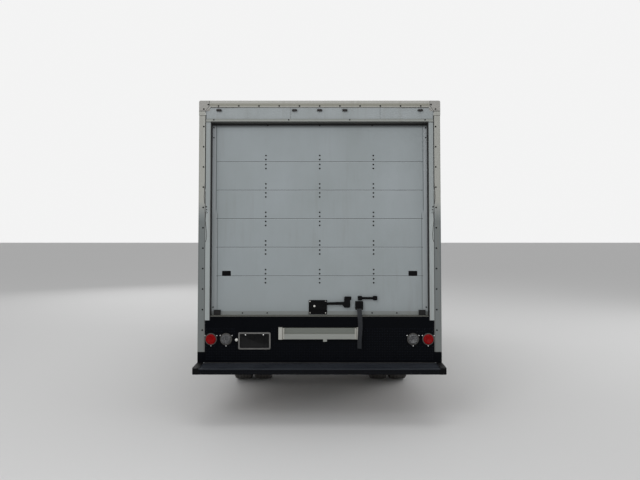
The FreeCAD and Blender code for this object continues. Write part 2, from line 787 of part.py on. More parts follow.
def door_latch():
    """The lock plate with its swinging lever, the pull handle and the strap anchor on the bottom panel."""
    y = door_face - running_gap
    z0 = floor_top + 6
    x0 = latch_x - latch_plate_width / 2
    x1 = latch_x + latch_plate_width / 2
    plate = block(x0, x1, y - 10, y - door_strip, z0, z0 + latch_plate_height)
    plate = plate.fuse(block(x0 + 6, x1 - 6, y - 6, y, z0 + 34, z0 + latch_plate_height - 6))
    case = rear_prism([(x0 + 14, z0 + 50, 12), (x1 - 4, z0 + 50, 12), (x1 - 4, z0 + 132, 12),
                       (x0 + 14, z0 + 132, 12)], y - 34, y - 9)
    pivot = rod(V(x1 - 30, y - 46, z0 + 112), V(x1 - 30, y - 9, z0 + 112), 22)
    lever = rear_prism([
        (x1 - 40, z0 + 98, 6), (x1 + lever_length - 50, z0 + 98, 10), (x1 + lever_length - 30, z0 + 70, 8),
        (x1 + lever_length + 28, z0 + 70, 14), (x1 + lever_length + 28, z0 + 150, 14),
        (x1 + lever_length + 40, z0 + 150, 8), (x1 + lever_length + 40, z0 + 182, 8),
        (x1 + lever_length - 32, z0 + 182, 14), (x1 + lever_length - 32, z0 + 128, 8), (x1 - 40, z0 + 122, 6),
    ], y - 44, y - 30)
    latch = fuse([plate, case, pivot, lever])
    bar_x0 = latch_x + 404.0
    bar_x1 = bar_x0 + 195.0
    bar_z = floor_top + 170.0
    feet = [rear_prism([(x, bar_z - 21, 6), (x + 42, bar_z - 21, 6), (x + 42, bar_z + 21, 6),
                        (x, bar_z + 21, 6)],
                       y - 34, y) for x in (bar_x0, bar_x1 - 42)]
    grip = rod(V(bar_x0 + 20, y - 26, bar_z), V(bar_x1 - 20, y - 26, bar_z), 12)
    handle = fuse(feet + [grip])
    anchor = rear_prism([(strap_x - 40, strap_top, 8), (strap_x + 40, strap_top, 8),
                         (strap_x + 40, strap_top + 86, 8), (strap_x - 40, strap_top + 86, 8)], y - 32, y)
    return group([latch, handle, anchor])


def strap_route():
    """Chosen points of the pull strap's middle line, out of its anchor, over the sill and down."""
    return [V(strap_x, rear_face + out, floor_top + up) for out, up in (
        (62.7, 64), (25, 61), (-6, 40), (-22, 3), (-30, -42), (-33.5, -95), (-34, -150), (-32, -206),
        (-27.5, -262), (-20, -317),
    )]


def strap_radii(points):
    """The largest arc that each corner's two runs allow."""
    radii = []
    for before, here, after in zip(points, points[1:], points[2:]):
        back, ahead = before - here, after - here
        turn = math.pi - back.getAngle(ahead)
        radii.append(0.45 * min(back.Length, ahead.Length) / math.tan(turn / 2))
    return radii


def pull_strap():
    """Flat webbing along its route: straight runs joined by tangent arcs, of one thickness throughout."""
    points = strap_route()
    radii = strap_radii(points)
    print("pull strap radii", [round(radius) for radius in radii])
    near, far = [], []
    for i, here in enumerate(points):
        ahead = (points[min(i + 1, len(points) - 1)] - points[min(i, len(points) - 2)]).normalize()
        back = (points[max(i, 1)] - points[max(i - 1, 0)]).normalize()
        along = (ahead + back).normalize()
        side = V(0, -along.z, along.y)
        step = strap_thickness / 2 / max(along.dot(ahead), 0.1)
        turn = back.y * ahead.z - back.z * ahead.y
        radius = radii[i - 1] if 0 < i < len(points) - 1 else 0.0
        shift = math.copysign(strap_thickness / 2, turn) if radius else 0.0
        left, right = here + side * step, here - side * step
        near.append((left.y, left.z, radius - shift))
        far.append((right.y, right.z, radius + shift))
    return side_prism(near + far[::-1], strap_x - strap_width / 2, strap_x + strap_width / 2)


def track_section(place):
    """A channel that opens toward the door, placed by place(across, depth)."""
    x0 = door_half_opening + door_side_lap + track_gap
    x1 = half_box - wall_thickness - running_gap
    w = track_wall
    corners = [(x0, 0), (x1, 0), (x1, track_depth), (x0, track_depth), (x0, track_depth - w),
               (x1 - w, track_depth - w),
               (x1 - w, w), (x0, w)]
    return Part.Face(outline(corners, place))


def door_tracks():
    """The channels that carry the door's rollers, up the posts and along under the roof, with the
    counterbalance shaft across the header."""
    y0 = rear_face + post_depth + running_gap
    bend_z = door_opening_top - track_drop
    upright = track_section(lambda u, v: V(u, y0 + v, floor_top + running_gap))
    upright = upright.extrude(V(0, 0, bend_z - floor_top - running_gap))
    centre = V(0, y0 + track_depth + track_bend, bend_z)
    bend = track_section(lambda u, v: V(u, y0 + v, bend_z)).revolve(centre, V(1, 0, 0), -90)
    level = track_section(lambda u, v: V(u, centre.y, bend_z + track_bend + track_depth - v))
    level = level.extrude(V(0, track_run, 0))
    track = fuse([upright, bend, level])
    hangers = [block(half_box - wall_thickness - 40, half_box - wall_thickness - running_gap, y, y + 40,
                     bend_z + track_bend + track_depth - 1, box_top - 46 - running_gap)
               for y in (centre.y + 500, centre.y + track_run - 100)]
    shaft_z = bend_z + 85.0
    shaft_y = y0 + track_depth + 70.0
    end = door_half_opening + door_side_lap - 10
    shaft = rod(V(-end, shaft_y, shaft_z), V(end, shaft_y, shaft_z), 13)
    coils = both_sides(rod(V(120, shaft_y, shaft_z), V(760, shaft_y, shaft_z), 34))
    drums = both_sides(rod(V(end - 60, shaft_y, shaft_z), V(end - 10, shaft_y, shaft_z), 55))
    bearers = both_sides(block(end - 90, end - 78, y0, shaft_y + 30, shaft_z - 30, shaft_z + 30))
    bearers += [block(-6, 6, y0, shaft_y + 30, shaft_z - 30, shaft_z + 30)]
    return group(both_sides(fuse([track] + hangers)) + [fuse([shaft] + coils + drums + bearers)])


def rear_sill():
    """The folded sill and riser below the door, with round lamp holes and the mouth of the ramp pocket."""
    inside = half_box - post_width - inner_post_width
    low = bumper_top
    under = floor_top - threshold_thickness
    top_plate = block(-inside + 2, inside - 2, rear_face + 4, rear_face + post_depth + 1, under, floor_top)
    reach = half_box - wall_thickness - running_gap
    threshold = block(-reach, reach, rear_face + post_depth + running_gap, deck_rear - running_gap, under,
                      floor_top)
    lip = rear_prism([(-inside + 2, floor_top - 24), (inside - 2, floor_top - 24),
                      (inside - 2, floor_top + 0),
                      (-inside + 2, floor_top + 0)], rear_face - 8, rear_face + 5)
    band_half = half_box - post_width - running_gap
    band = block(-band_half, band_half, rear_face - 2, rear_face + riser_skin, floor_top - sill_band,
                 floor_top - inner_post_drop - 1)
    band_middle = block(-inside + 2, inside - 2, rear_face - 2, rear_face + riser_skin,
                        floor_top - inner_post_drop - 2, floor_top - 1)
    riser = block(-band_half, band_half, rear_face, rear_face + riser_skin, low, floor_top - sill_band + 1)
    skirt = block(-half_box + 2, half_box - 2, rear_face, rear_face + riser_skin, low,
                  floor_top - post_drop - running_gap)
    fold = block(-half_box + 2, half_box - 2, rear_face, rear_face + 45, low, low + 6)
    gussets = both_sides(side_prism([(rear_face + 4, floor_top - sill_band),
                                     (rear_face + post_depth, floor_top - 130),
                                     (rear_face + 45, low), (rear_face + 4, low)], 560, 568))
    plates = both_sides(block(560, 568, rear_face + 4, rear_face + post_depth, floor_top - 135,
                              floor_top - 1))
    sill = fuse([top_plate, threshold, lip, band, band_middle, riser, skirt, fold] + gussets + plates)
    mouth_half = ramp_width / 2 + ramp_guide_gap
    mouth = block(-mouth_half, mouth_half, rear_face - 30, rear_face + post_depth + 10,
                  floor_top - pocket_bottom, floor_top - pocket_top)
    guides = both_sides(block(mouth_half - 1, mouth_half + ramp_guide_width, rear_face - 18, rear_face + 1,
                              floor_top - pocket_bottom + 2, floor_top - pocket_top - 2))
    sill = fuse([sill] + guides)
    mouth = mouth.fuse(plate_bolts(plate_bolt_radius))
    holes = []
    for x in (stop_lamp_x, reverse_lamp_x):
        holes += both_sides(rod(V(x, rear_face - 20, floor_top - lamp_drop),
                                V(x, rear_face + 30, floor_top - lamp_drop), lamp_radius - 2))
    return sill.cut(group([mouth] + holes))


def step_bumper():
    """A folded tread plate with a turned-down lip, end caps and two drop legs from the rails."""
    y1 = rear_face - running_gap
    y0 = rear_face - bumper_depth
    top = bumper_top - 4
    half = half_box - bumper_cap
    tread = block(-half, half, y0 + 3, y1, top - 6, top)
    lip = block(-half, half, y0 + 3, y0 + 9, top - bumper_lip, top)
    ribs = [block(-half + 6, half - 6, y0 + 60 + 75 * i, y0 + 66 + 75 * i, top, top + 4) for i in range(3)]
    caps = both_sides(plan_prism([(half - 1, y0, 6), (half_box - 2, y0, 22), (half_box - 2, y1, 6),
                                  (half - 1, y1)],
                                 top - bumper_lip, top + 6))
    beam = block(-half, half, y0 + 90, y0 + 96, top - 60, top - 5)
    beam_low = block(-half, half, y0 + 90, y0 + 150, top - 66, top - 60)
    legs = both_sides(side_prism([
        (rear_face + frame_rear_gap + 20, rail_bottom + 20), (rear_face + 190, rail_bottom + 20),
        (rear_face + 190, rail_top - 30), (rear_face + frame_rear_gap + 20, rail_top - 30),
    ], rail_outer + running_gap, rail_outer + 10))
    feet = both_sides(side_prism([
        (y0 + 96, top - 64), (rear_face + 75, top - 64), (rear_face + 190, rail_bottom + 21),
        (rear_face + 75, rail_bottom + 21), (rear_face + 55, top - 5), (y0 + 96, top - 5),
    ], rail_outer + running_gap, rail_outer + 10))
    return fuse([tread, lip, beam, beam_low] + ribs + caps + legs + feet)


def body_lamps():
    """Round stop and reversing lamps in the riser, and the oval clearance lamps front and rear."""
    lamps = []
    z = floor_top - lamp_drop
    for x in (stop_lamp_x, reverse_lamp_x):
        ring = tube(V(x, rear_face - 6, z), V(x, rear_face - running_gap, z), lamp_radius + 7,
                    lamp_radius - 4)
        barrel = rod(V(x, rear_face - 6, z), V(x, rear_face + 32, z), lamp_radius - 3)
        lens = rod(V(x, rear_face - 12, z), V(x, rear_face - 5, z), lamp_radius)
        lamps += both_sides(fuse([ring, barrel, lens]))
    marker_z = box_top - top_rail_height - marker_height
    places = [0.0, marker_x[1], -marker_x[1], marker_x[0], -marker_x[0]]
    for x in places:
        flat = [(x - 26, marker_z - 11, 10), (x + 26, marker_z - 11, 10), (x + 26, marker_z + 11, 10),
                (x - 26, marker_z + 11, 10)]
        lamps.append(rear_prism(flat, rear_face - 14, rear_face + 6 - running_gap))
        lamps.append(rear_prism(flat, box_front + running_gap, box_front + 20))
    return group(lamps)


def plate_bolts(radius):
    """Cutters for the plate's two upper bolts, through the plate and the riser behind it."""
    z = floor_top - plate_drop + plate_height / 2 - plate_bolt_inset
    places = [plate_x + side * plate_bolt_spacing / 2 for side in (-1, 1)]
    return group([rod(V(x, rear_face - 20, z), V(x, rear_face + 20, z), radius) for x in places])


def licence_plate():
    """A blank plate in a raised frame, with its two upper bolt holes."""
    z = floor_top - plate_drop
    y0 = rear_face - running_gap
    hw, hh = plate_width / 2, plate_height / 2

    def panel(grow, r, thick0, thick1):
        return rear_prism([(plate_x - hw - grow, z - hh - grow, r), (plate_x + hw + grow, z - hh - grow, r),
                           (plate_x + hw + grow, z + hh + grow, r), (plate_x - hw - grow, z + hh + grow, r)],
                          y0 - thick1, y0 - thick0)

    rim = panel(8, 14, 0, 9).cut(panel(-6, 8, 3, 12))
    return rim.cut(plate_bolts(plate_bolt_radius))


# Walk ramp

def ramp():
    """A ribbed deck between two side channels, with a hooked end plate that closes the pocket."""
    half = ramp_width / 2
    low = sill_bottom + runner_height + running_gap
    high = low + ramp_thickness
    y0 = rear_face + 6
    y1 = y0 + ramp_length
    side = rear_prism([(half - 40, low), (half, low), (half, high), (half - 40, high), (half - 40, high - 7),
                       (half - 7, high - 7), (half - 7, low + 7), (half - 40, low + 7)], y0, y1)
    deck = block(-half + 30, half - 30, y0, y1, high - 36, high - 30)
    deck_web = both_sides(block(half - 41, half - 34, y0, y1, low + 1, high - 1))
    rungs = []
    count = 12
    for i in range(count):
        y = y0 + 60 + (ramp_length - 180) * i / (count - 1)
        rungs.append(block(-half + 38, half - 38, y, y + 50, low + 10, high - 35))
    treads = []
    for i in range(9):
        x = -half + 84 + (ramp_width - 168) * i / 8
        treads.append(block(x - 5, x + 5, y0 + 10, y1 - 10, high - 31, high - 24))
    end_low = floor_top - pocket_bottom + 6
    end_high = floor_top - pocket_top - 5
    end_plate = block(-half, half, rear_face - 6, rear_face + 7, end_low, end_high)
    fold = block(-half, half, rear_face - 20, rear_face - 5, end_low, end_low + ramp_fold)
    fold = fold.cut(block(-half - 3, half + 3, rear_face - 15, rear_face - 6, end_low + 9,
                          end_low + ramp_fold - 9))
    end_caps = both_sides(block(half - 16, half, rear_face - 22, rear_face + 7, end_low, end_high))
    tab = rear_prism([(tab_x - 19, end_low - 24, 6), (tab_x + 19, end_low - 24, 6), (tab_x + 19, end_low + 8),
                      (tab_x - 19, end_low + 8)], rear_face - 24, rear_face - 16)
    return fuse(both_sides(side) + [deck, end_plate, fold, tab] + deck_web + rungs + treads + end_caps)


# Cab


def cab_section(z, front, half_width, inset):
    """A closed plan outline of the cab at height z: a bowed front, round front corners, square back."""
    half = half_width - inset
    front = front - inset
    back = cab_back + inset
    bow = nose_bow_radius - inset
    corner = nose_corner_radius - inset
    rear = max(back_corner_radius - inset, 12.0)
    centre_y = front - bow
    corner_x = half - corner
    corner_y = centre_y + math.sqrt((bow - corner) ** 2 - corner_x ** 2)
    angle = math.atan2(corner_y - centre_y, corner_x)
    meet = (bow * math.cos(angle), centre_y + bow * math.sin(angle))
    middle = angle / 2
    mid = (corner_x + corner * math.cos(middle), corner_y + corner * math.sin(middle))
    small = rear * (1 - math.sqrt(0.5))

    def at(x, y):
        return V(x, y, z)

    edges = [
        Part.Arc(at(-meet[0], meet[1]), at(0, front), at(*meet)),
        Part.Arc(at(*meet), at(*mid), at(half, corner_y)),
        Part.LineSegment(at(half, corner_y), at(half, back + rear)),
        Part.Arc(at(half, back + rear), at(half - small, back + small), at(half - rear, back)),
        Part.LineSegment(at(half - rear, back), at(-half + rear, back)),
        Part.Arc(at(-half + rear, back), at(-half + small, back + small), at(-half, back + rear)),
        Part.LineSegment(at(-half, back + rear), at(-half, corner_y)),
        Part.Arc(at(-half, corner_y), at(-mid[0], mid[1]), at(-meet[0], meet[1])),
    ]
    return Part.Wire([edge.toShape() for edge in edges])


def cab_form(inset, bottom):
    """The cab's outer form from the height bottom up, or the same form drawn in by inset all round."""
    rise = cab_roof - belt_line
    shoulder = cab_roof - roof_edge_radius
    radius = roof_edge_radius - inset
    base = cab_skirt - 60.0
    low = [(base, 8.0, -14.0), (belt_line - 380.0, 0.0, -2.0), (belt_line, 18.0, 0.0)]
    high = [(belt_line, 18.0, 0.0), (belt_line + 0.45 * rise, 100.0, -32.0), (shoulder, 210.0, -66.0)]
    top = []
    for i in range(5):
        angle = math.radians(84.0 * i / 4)
        up = radius * math.sin(angle)
        across = radius * (1 - math.cos(angle))
        top.append((shoulder + up, 210.0 + across + 0.28 * up, -66.0 - across - 0.1 * up))
    lofts = []
    for stations in (low, high, top):
        wires = [cab_section(z, cab_front - set_back, cab_half_width + swell, inset)
                 for z, set_back, swell in stations]
        lofts.append(Part.makeLoft(wires, True, False))
    form = lofts[0].fuse(lofts[1:])
    return form.common(block(-2000, 2000, cab_back - 100, cab_front + 100, bottom, cab_roof + 100)).Solids[0]


def door_outline(grow):
    """The door's outline in side view, grown all round by grow; its rear foot follows the wheel arch."""
    g = grow
    front = cab_front - 170.0
    back = cab_back + 455.0
    top = cab_roof - 165.0
    low = cab_skirt + 62.0
    foot = front_axle_y + arch_radius + 70.0
    over_arch = front_axle_y + arch_radius - 60.0
    arch_top = hub_height + arch_radius + 46.0
    return [
        (front + g, low - g, 40), (front - 14 + g, belt_line, 400), (front - 178 + g, top + g, 70 + g),
        (back - g, top + g, 60 + g), (back - g, arch_top - g, 60), (over_arch - g, arch_top - g, 160),
        (foot - g, low - g, 60),
    ]


def door_window_outline(grow):
    g = grow
    front = cab_front - 170.0
    back = cab_back + 455.0
    top = cab_roof - 165.0
    sill = belt_line + 40.0
    return [
        (front - 92 + g, sill - g, 40 + g), (front - 230 + g, top - 62 + g, 60 + g),
        (back + 66 - g, top - 62 + g, 60 + g), (back + 66 - g, sill - g, 60 + g),
    ]


def windscreen_outline(grow):
    g = grow
    half = cab_half_width - 118.0
    low = belt_line + 30.0
    top = cab_roof - 170.0
    return [(-half - g, low - g, 90 + g), (half + g, low - g, 90 + g), (half - 52 + g, top + g, 90 + g),
            (-half + 52 - g, top + g, 90 + g)]


def back_window_outline(grow):
    g = grow
    half = 560.0
    low = belt_line + 160.0
    top = cab_roof - 260.0
    return [(-half - g, low - g, 70 + g), (half + g, low - g, 70 + g), (half + g, top + g, 70 + g),
            (-half - g, top + g, 70 + g)]


def arch_shell():
    """The curved liner over the right front wheel, open at the bottom."""
    start = V(rail_outer + 120, front_axle_y, hub_height)
    end = V(cab_half_width + 40, front_axle_y, hub_height)
    liner = tube(start, end, arch_radius + arch_liner, arch_radius)
    return liner.cut(block(0, 2000, front_axle_y - 600, front_axle_y + 600, 0, cab_skirt))


def step_wells(inside):
    """The boarding step ahead of each front wheel: a boxed well, hung from the pan by its inner wall."""
    y0 = front_axle_y + arch_radius + 30.0
    y1 = cab_front - 200.0
    x1 = cab_half_width - 30.0
    x0 = x1 - step_width
    below_skin = cab_skirt - running_gap
    outer = block(x0, x1, y0, y1, step_bottom, below_skin)
    rim = block(x0, x1, y0, y1, below_skin, cab_skirt + 30).common(inside)
    hanger_plate = block(x0, x0 + step_wall, y0, y1, below_skin, foot_floor - floor_thickness + 1)
    well = side_prism([(y0 + 30, step_bottom + 20, 30), (y1 - 30, step_bottom + 20, 30),
                        (y1 - 30, cab_skirt + 5, 30), (y0 + 30, cab_skirt + 5, 30)], x0 + step_wall, x1 + 5)
    return both_sides(fuse([outer, rim, hanger_plate]).cut(well))


def cab_floor():
    """The stepped floor pan inside the walls, with its two pivot lugs and the boarding steps."""
    inside = cab_form(cab_wall + running_gap, cab_skirt - 50)
    t = floor_thickness
    pan = side_prism([
        (seat_front - cab_wall, foot_floor - t), (cab_front + 50, foot_floor - t),
        (cab_front + 50, foot_floor), (seat_front, foot_floor), (seat_front, seat_deck, 30),
        (cab_back - 50, seat_deck), (cab_back - 50, seat_deck - t),
        (seat_front - cab_wall, seat_deck - t, 20),
    ], -cab_half_width - 50, cab_half_width + 50).common(inside)
    doors = side_prism(door_outline(door_gap), 0, 2000).cut(cab_form(cab_wall + door_gap, cab_skirt - 50))
    corner = rod(V(hinge_x, hinge_y, foot_floor - t - 5), V(hinge_x, hinge_y, foot_floor + 5), door_corner_swing)
    pan = pan.cut(group(both_sides(doors))).cut(group(both_sides(corner)))
    x = rail_outer + lug_gap
    under = foot_floor - t + 1
    plate = side_prism([(pivot_y - 42, pivot_z - 42, 40), (pivot_y + 18, pivot_z - 42, 18),
                        (pivot_y + 18, under), (pivot_y - 120, under)], x, x + lug_thickness)
    hole = rod(V(x - 5, pivot_y, pivot_z), V(x + lug_thickness + 5, pivot_y, pivot_z),
               pivot_pin_radius + running_gap)
    return fuse([pan] + both_sides(plate.cut(hole)) + step_wells(inside))


def cab_shell(outer):
    """Roof, back, nose, pillars and wheel arches as one hollow pressing, with its openings cut."""
    shell = outer.cut(cab_form(cab_wall, cab_skirt - 50))
    for x0, x1 in ((-2000, 0), (0, 2000)):
        shell = shell.cut(side_prism(door_outline(door_gap), x0, x1).common(
            block(x0, x1, cab_back, cab_front + 50, cab_skirt, cab_roof)).cut(
            block(-cab_half_width + 150, cab_half_width - 150, cab_back, cab_front + 50, 0, cab_roof)))
    shell = shell.cut(rear_prism(windscreen_outline(0), front_axle_y + 200, cab_front + 50))
    shell = shell.cut(rear_prism(back_window_outline(0), cab_back - 50, cab_back + 200))
    arches = both_sides(rod(V(rail_outer + 120, front_axle_y, hub_height),
                            V(2000, front_axle_y, hub_height), arch_radius))
    shell = shell.cut(group(arches))
    tunnel_half = cab_half_width - 150.0
    shell = shell.cut(block(-tunnel_half, tunnel_half, cab_back - 50, cab_back + cab_wall + 20, 0,
                            seat_deck - floor_thickness))
    shell = fuse([shell] + [liner.common(outer) for liner in both_sides(arch_shell())])
    hinges = []
    for z in hinge_heights:
        for side in (0, 1):
            z0 = z - hinge_barrel * 1.5 - running_gap if side == 0 else z + hinge_barrel / 2 + running_gap
            hinges.append(rod(V(hinge_x, hinge_y, z0), V(hinge_x, hinge_y, z0 + hinge_barrel),
                              hinge_barrel_radius))
            hinges.append(block(cab_half_width - 40, hinge_x, hinge_y + 1, hinge_y + 40, z0,
                                z0 + hinge_barrel))
        hinges.append(rod(V(hinge_x, hinge_y, z - hinge_barrel), V(hinge_x, hinge_y, z + hinge_barrel),
                          hinge_pin))
    return fuse([shell] + both_sides(fuse(hinges)))


def cab_glass():
    """Windscreen and back window, each a slice of the cab's own curved form."""
    band = cab_form(10.0, cab_skirt).cut(cab_form(10.0 + glass_thickness, cab_skirt))
    screen = band.common(rear_prism(windscreen_outline(-running_gap), front_axle_y + 200, cab_front + 50))
    back = band.common(rear_prism(back_window_outline(-running_gap), cab_back - 50, cab_back + 200))
    return group([screen, back])


def grille():
    """A slatted nose grille that follows the bow of the cab's front."""
    proud = cab_form(-14.0, cab_skirt).cut(cab_form(-running_gap, cab_skirt))
    frame = proud.common(rear_prism([(-grille_half, grille_low, 50), (grille_half, grille_low, 50),
                                     (grille_half + 20, grille_high, 50),
                                     (-grille_half - 20, grille_high, 50)],
                                    cab_front - 300, cab_front + 50))
    slots = []
    count = 4
    height = 30.0
    for i in range(count):
        z = grille_low + 38 + (grille_high - grille_low - 76 - height) * i / (count - 1)
        slots.append(rear_prism([(-grille_half + 45, z, 12), (grille_half - 45, z, 12),
                                 (grille_half - 45, z + height, 12), (-grille_half + 45, z + height, 12)],
                                cab_front - 300, cab_front + 50))
    return frame.cut(group(slots))


def headlamps():
    """A rectangular lamp at each end of the grille, wrapped into the front corner."""
    proud = cab_form(-12.0, cab_skirt).cut(cab_form(-running_gap, cab_skirt))
    outer_x = hinge_x - 62.0
    flat = [(grille_half + 36, grille_low + 4, 30), (outer_x, grille_low + 24, 20),
            (outer_x, grille_high - 20, 20), (grille_half + 50, grille_high - 4, 30)]
    lamp = proud.common(rear_prism(flat, cab_front - 140, cab_front + 50))
    return group(both_sides(lamp))


def dashboard():
    """The fascia across the cab, with a cowl over the dials and the steering column."""
    y1 = cab_front - cab_wall - 70.0
    half = cab_half_width - 130.0
    body = side_prism([(y1 - 330, 1080, 40), (y1, 1010), (y1, belt_line + 10, 30),
                       (y1 - 120, belt_line + 14, 60),
                       (y1 - 340, belt_line - 60, 50)], -half, half)
    cowl = rear_prism([(steer_x - 230, belt_line - 70), (steer_x + 230, belt_line - 70),
                       (steer_x + 190, belt_line + 60, 60), (steer_x - 190, belt_line + 60, 60)], y1 - 320,
                       y1 - 60)
    legs = [block(-half + 40, -half + 90, y1 - 150, y1 - 40, foot_floor + running_gap, 1060),
            block(half - 90, half - 40, y1 - 150, y1 - 40, foot_floor + running_gap, 1060)]
    column = rod(steer_centre - steer_axis * (hub_depth + running_gap), steer_centre + steer_axis * -560.0,
                 34)
    column = column.common(block(-half, half, cab_back, cab_front, foot_floor + running_gap, cab_roof))
    return fuse([body, cowl, column] + legs).common(cab_form(cab_wall + running_gap,
                                                             foot_floor + running_gap))


def steering_wheel():
    """A thin rim, three spokes and a hub, on the axis of the column."""
    rim = Part.makeTorus(steer_radius, 15, steer_centre, steer_axis)
    hub = Part.makeCylinder(52, hub_depth, steer_centre - steer_axis * hub_depth, steer_axis)
    spokes = []
    for angle in (20, 160, 270):
        flat = V(math.cos(math.radians(angle)), 0, 0)
        up = V(1, 0, 0).cross(steer_axis) * -1.0
        direction = flat + up * math.sin(math.radians(angle))
        root = steer_centre - steer_axis * 24.0 + direction * 30.0
        spokes.append(rod(root, steer_centre + direction * steer_radius, 12))
    return fuse([rim, hub] + spokes)


def seats():
    """A driver's seat and a wider double seat, each with base, squab, back and head restraints."""
    made = []
    for centre, width in ((steer_x, 500.0), (330.0, 880.0)):
        y0 = seat_front - 760.0
        base = block(centre - width / 2 + 50, centre + width / 2 - 50, y0 + 60, y0 + 470,
                     seat_deck + running_gap,
                     seat_deck + 90)
        squab = side_prism([(y0, seat_deck + 85, 30), (y0 + 500, seat_deck + 95, 50),
                            (y0 + 500, seat_deck + 210, 60), (y0, seat_deck + 190, 30)],
                           centre - width / 2, centre + width / 2)
        back = side_prism([(y0 - 10, seat_deck + 150, 30), (y0 + 110, seat_deck + 150, 40),
                           (y0 - 15, seat_deck + 730, 50), (y0 - 105, seat_deck + 730, 40)],
                          centre - width / 2, centre + width / 2)
        heads = []
        places = [centre] if width < 600 else [centre - width / 4, centre + width / 4]
        for x in places:
            heads.append(side_prism([(y0 - 110, seat_deck + 760, 30), (y0 - 25, seat_deck + 760, 30),
                                     (y0 - 35, seat_deck + 900, 30), (y0 - 120, seat_deck + 900, 30)],
                                    x - 125, x + 125))
            heads.append(rod(V(x, y0 - 60, seat_deck + 700), V(x, y0 - 70, seat_deck + 790), 8))
        made.append(fuse([base, squab, back] + heads))
    return group(made)


def front_bumper():
    """A bowed channel bumper below the cab's nose, on brackets from the rail ends."""
    high = cab_skirt - front_bumper_gap
    low = high - front_bumper_height
    depth = 62.0

    def bowed(reach, corner):
        centre = nose - reach - nose_bow_radius
        radius = nose_bow_radius
        half = cab_half_width - 6 - reach
        corner_x = half - corner
        corner_y = centre + math.sqrt((radius - corner) ** 2 - corner_x ** 2)
        angle = math.atan2(corner_y - centre, corner_x)
        bow_end = (radius * math.cos(angle), centre + radius * math.sin(angle))
        corner_middle = (corner_x + corner * math.cos(angle / 2), corner_y + corner * math.sin(angle / 2))
        return bow_end, corner_middle, (half, corner_y)

    outer = bowed(0, 170.0)
    inner = bowed(depth, 120.0)
    end_y = cab_front - 200.0

    def at(point, sign=1):
        return V(sign * point[0], point[1], low)

    edges = [
        Part.Arc(at(outer[0], -1), V(0, nose, low), at(outer[0])),
        Part.Arc(at(outer[0]), at(outer[1]), at(outer[2])),
        Part.LineSegment(at(outer[2]), V(outer[2][0], end_y, low)),
        Part.LineSegment(V(outer[2][0], end_y, low), V(inner[2][0], end_y, low)),
        Part.LineSegment(V(inner[2][0], end_y, low), at(inner[2])),
        Part.Arc(at(inner[2]), at(inner[1]), at(inner[0])),
        Part.Arc(at(inner[0]), V(0, nose - depth, low), at(inner[0], -1)),
        Part.Arc(at(inner[0], -1), at(inner[1], -1), at(inner[2], -1)),
        Part.LineSegment(at(inner[2], -1), V(-inner[2][0], end_y, low)),
        Part.LineSegment(V(-inner[2][0], end_y, low), V(-outer[2][0], end_y, low)),
        Part.LineSegment(V(-outer[2][0], end_y, low), at(outer[2], -1)),
        Part.Arc(at(outer[2], -1), at(outer[1], -1), at(outer[0], -1)),
    ]
    bar = Part.Face(Part.Wire([e.toShape() for e in edges])).extrude(V(0, 0, front_bumper_height))
    mouth = rear_prism([(-330, low + 40, 24), (330, low + 40, 24), (330, high - 40, 24),
                        (-330, high - 40, 24)],
                       nose - depth - 40, nose + 5)
    bar = bar.cut(mouth)
    slats = [block(-335, 335, nose - depth - 22, nose - depth + 30, z, z + 12) for z in (low + 66, low + 100)]
    posts = both_sides(block(250, 262, nose - depth - 22, nose - depth + 20, low + 35, high - 35))
    brackets = both_sides(block(rail_inner, rail_outer, rail_front - 120, nose - depth + 25, low + 60,
                                rail_bottom - running_gap))
    return fuse([bar] + slats + posts + brackets)


# Cab doors

def cab_door(outer):
    """The right door: a slice of the cab's wall with its window cut and its hinge barrels."""
    skin = outer.cut(cab_form(cab_wall, cab_skirt - 50))
    slab = skin.common(side_prism(door_outline(0), 300, 2000))
    slab = slab.cut(side_prism(door_window_outline(0), 300, 2000))
    pieces = [slab]
    for z in hinge_heights:
        barrel = tube(V(hinge_x, hinge_y, z - hinge_barrel / 2), V(hinge_x, hinge_y, z + hinge_barrel / 2),
                      hinge_barrel_radius, hinge_pin + running_gap)
        leaf = block(cab_half_width - 30, hinge_x - 2, hinge_y - 60, hinge_y - 12, z - hinge_barrel / 2,
                     z + hinge_barrel / 2)
        arm = block(hinge_x - 8, hinge_x + 4, hinge_y - 60, hinge_y - 6.5, z - hinge_barrel / 2,
                    z + hinge_barrel / 2)
        pieces += [barrel, leaf, arm]
    handle_y = cab_back + 540.0
    handle_z = belt_line - 70.0
    handle = side_prism([(handle_y, handle_z, 14), (handle_y + 150, handle_z, 14),
                         (handle_y + 150, handle_z + 34, 14), (handle_y, handle_z + 34, 14)],
                        cab_half_width - 20, cab_half_width + 16)
    pieces.append(handle)
    return fuse(pieces)


def door_glass():
    band = cab_form(16.0, cab_skirt).cut(cab_form(16.0 + glass_thickness, cab_skirt))
    return band.common(side_prism(door_window_outline(-running_gap), 300, 2000))


def mirror():
    """A tall mirror head on two arms from the door's front edge."""
    y = hinge_y - 110.0
    x0 = cab_half_width + mirror_reach - 110.0
    head = plan_prism([(x0, y - 34, 20), (x0 + 210, y - 24, 20), (x0 + 200, y + 30, 28),
                       (x0 + 10, y + 40, 28)],
                      belt_line + 110, belt_line + 520)
    upper = bent_pipe([V(x0 + 100, y, belt_line + 515), V(x0 + 100, y, belt_line + 580),
                       V(cab_half_width - 60, y - 60, belt_line + 580)], 11)
    lower = bent_pipe([V(x0 + 100, y, belt_line + 115), V(x0 + 100, y, belt_line + 40),
                       V(cab_half_width - 12, y, belt_line - 20)], 11)
    return fuse([head, upper, lower]).cut(cab_form(-running_gap, cab_skirt))


# Wheels

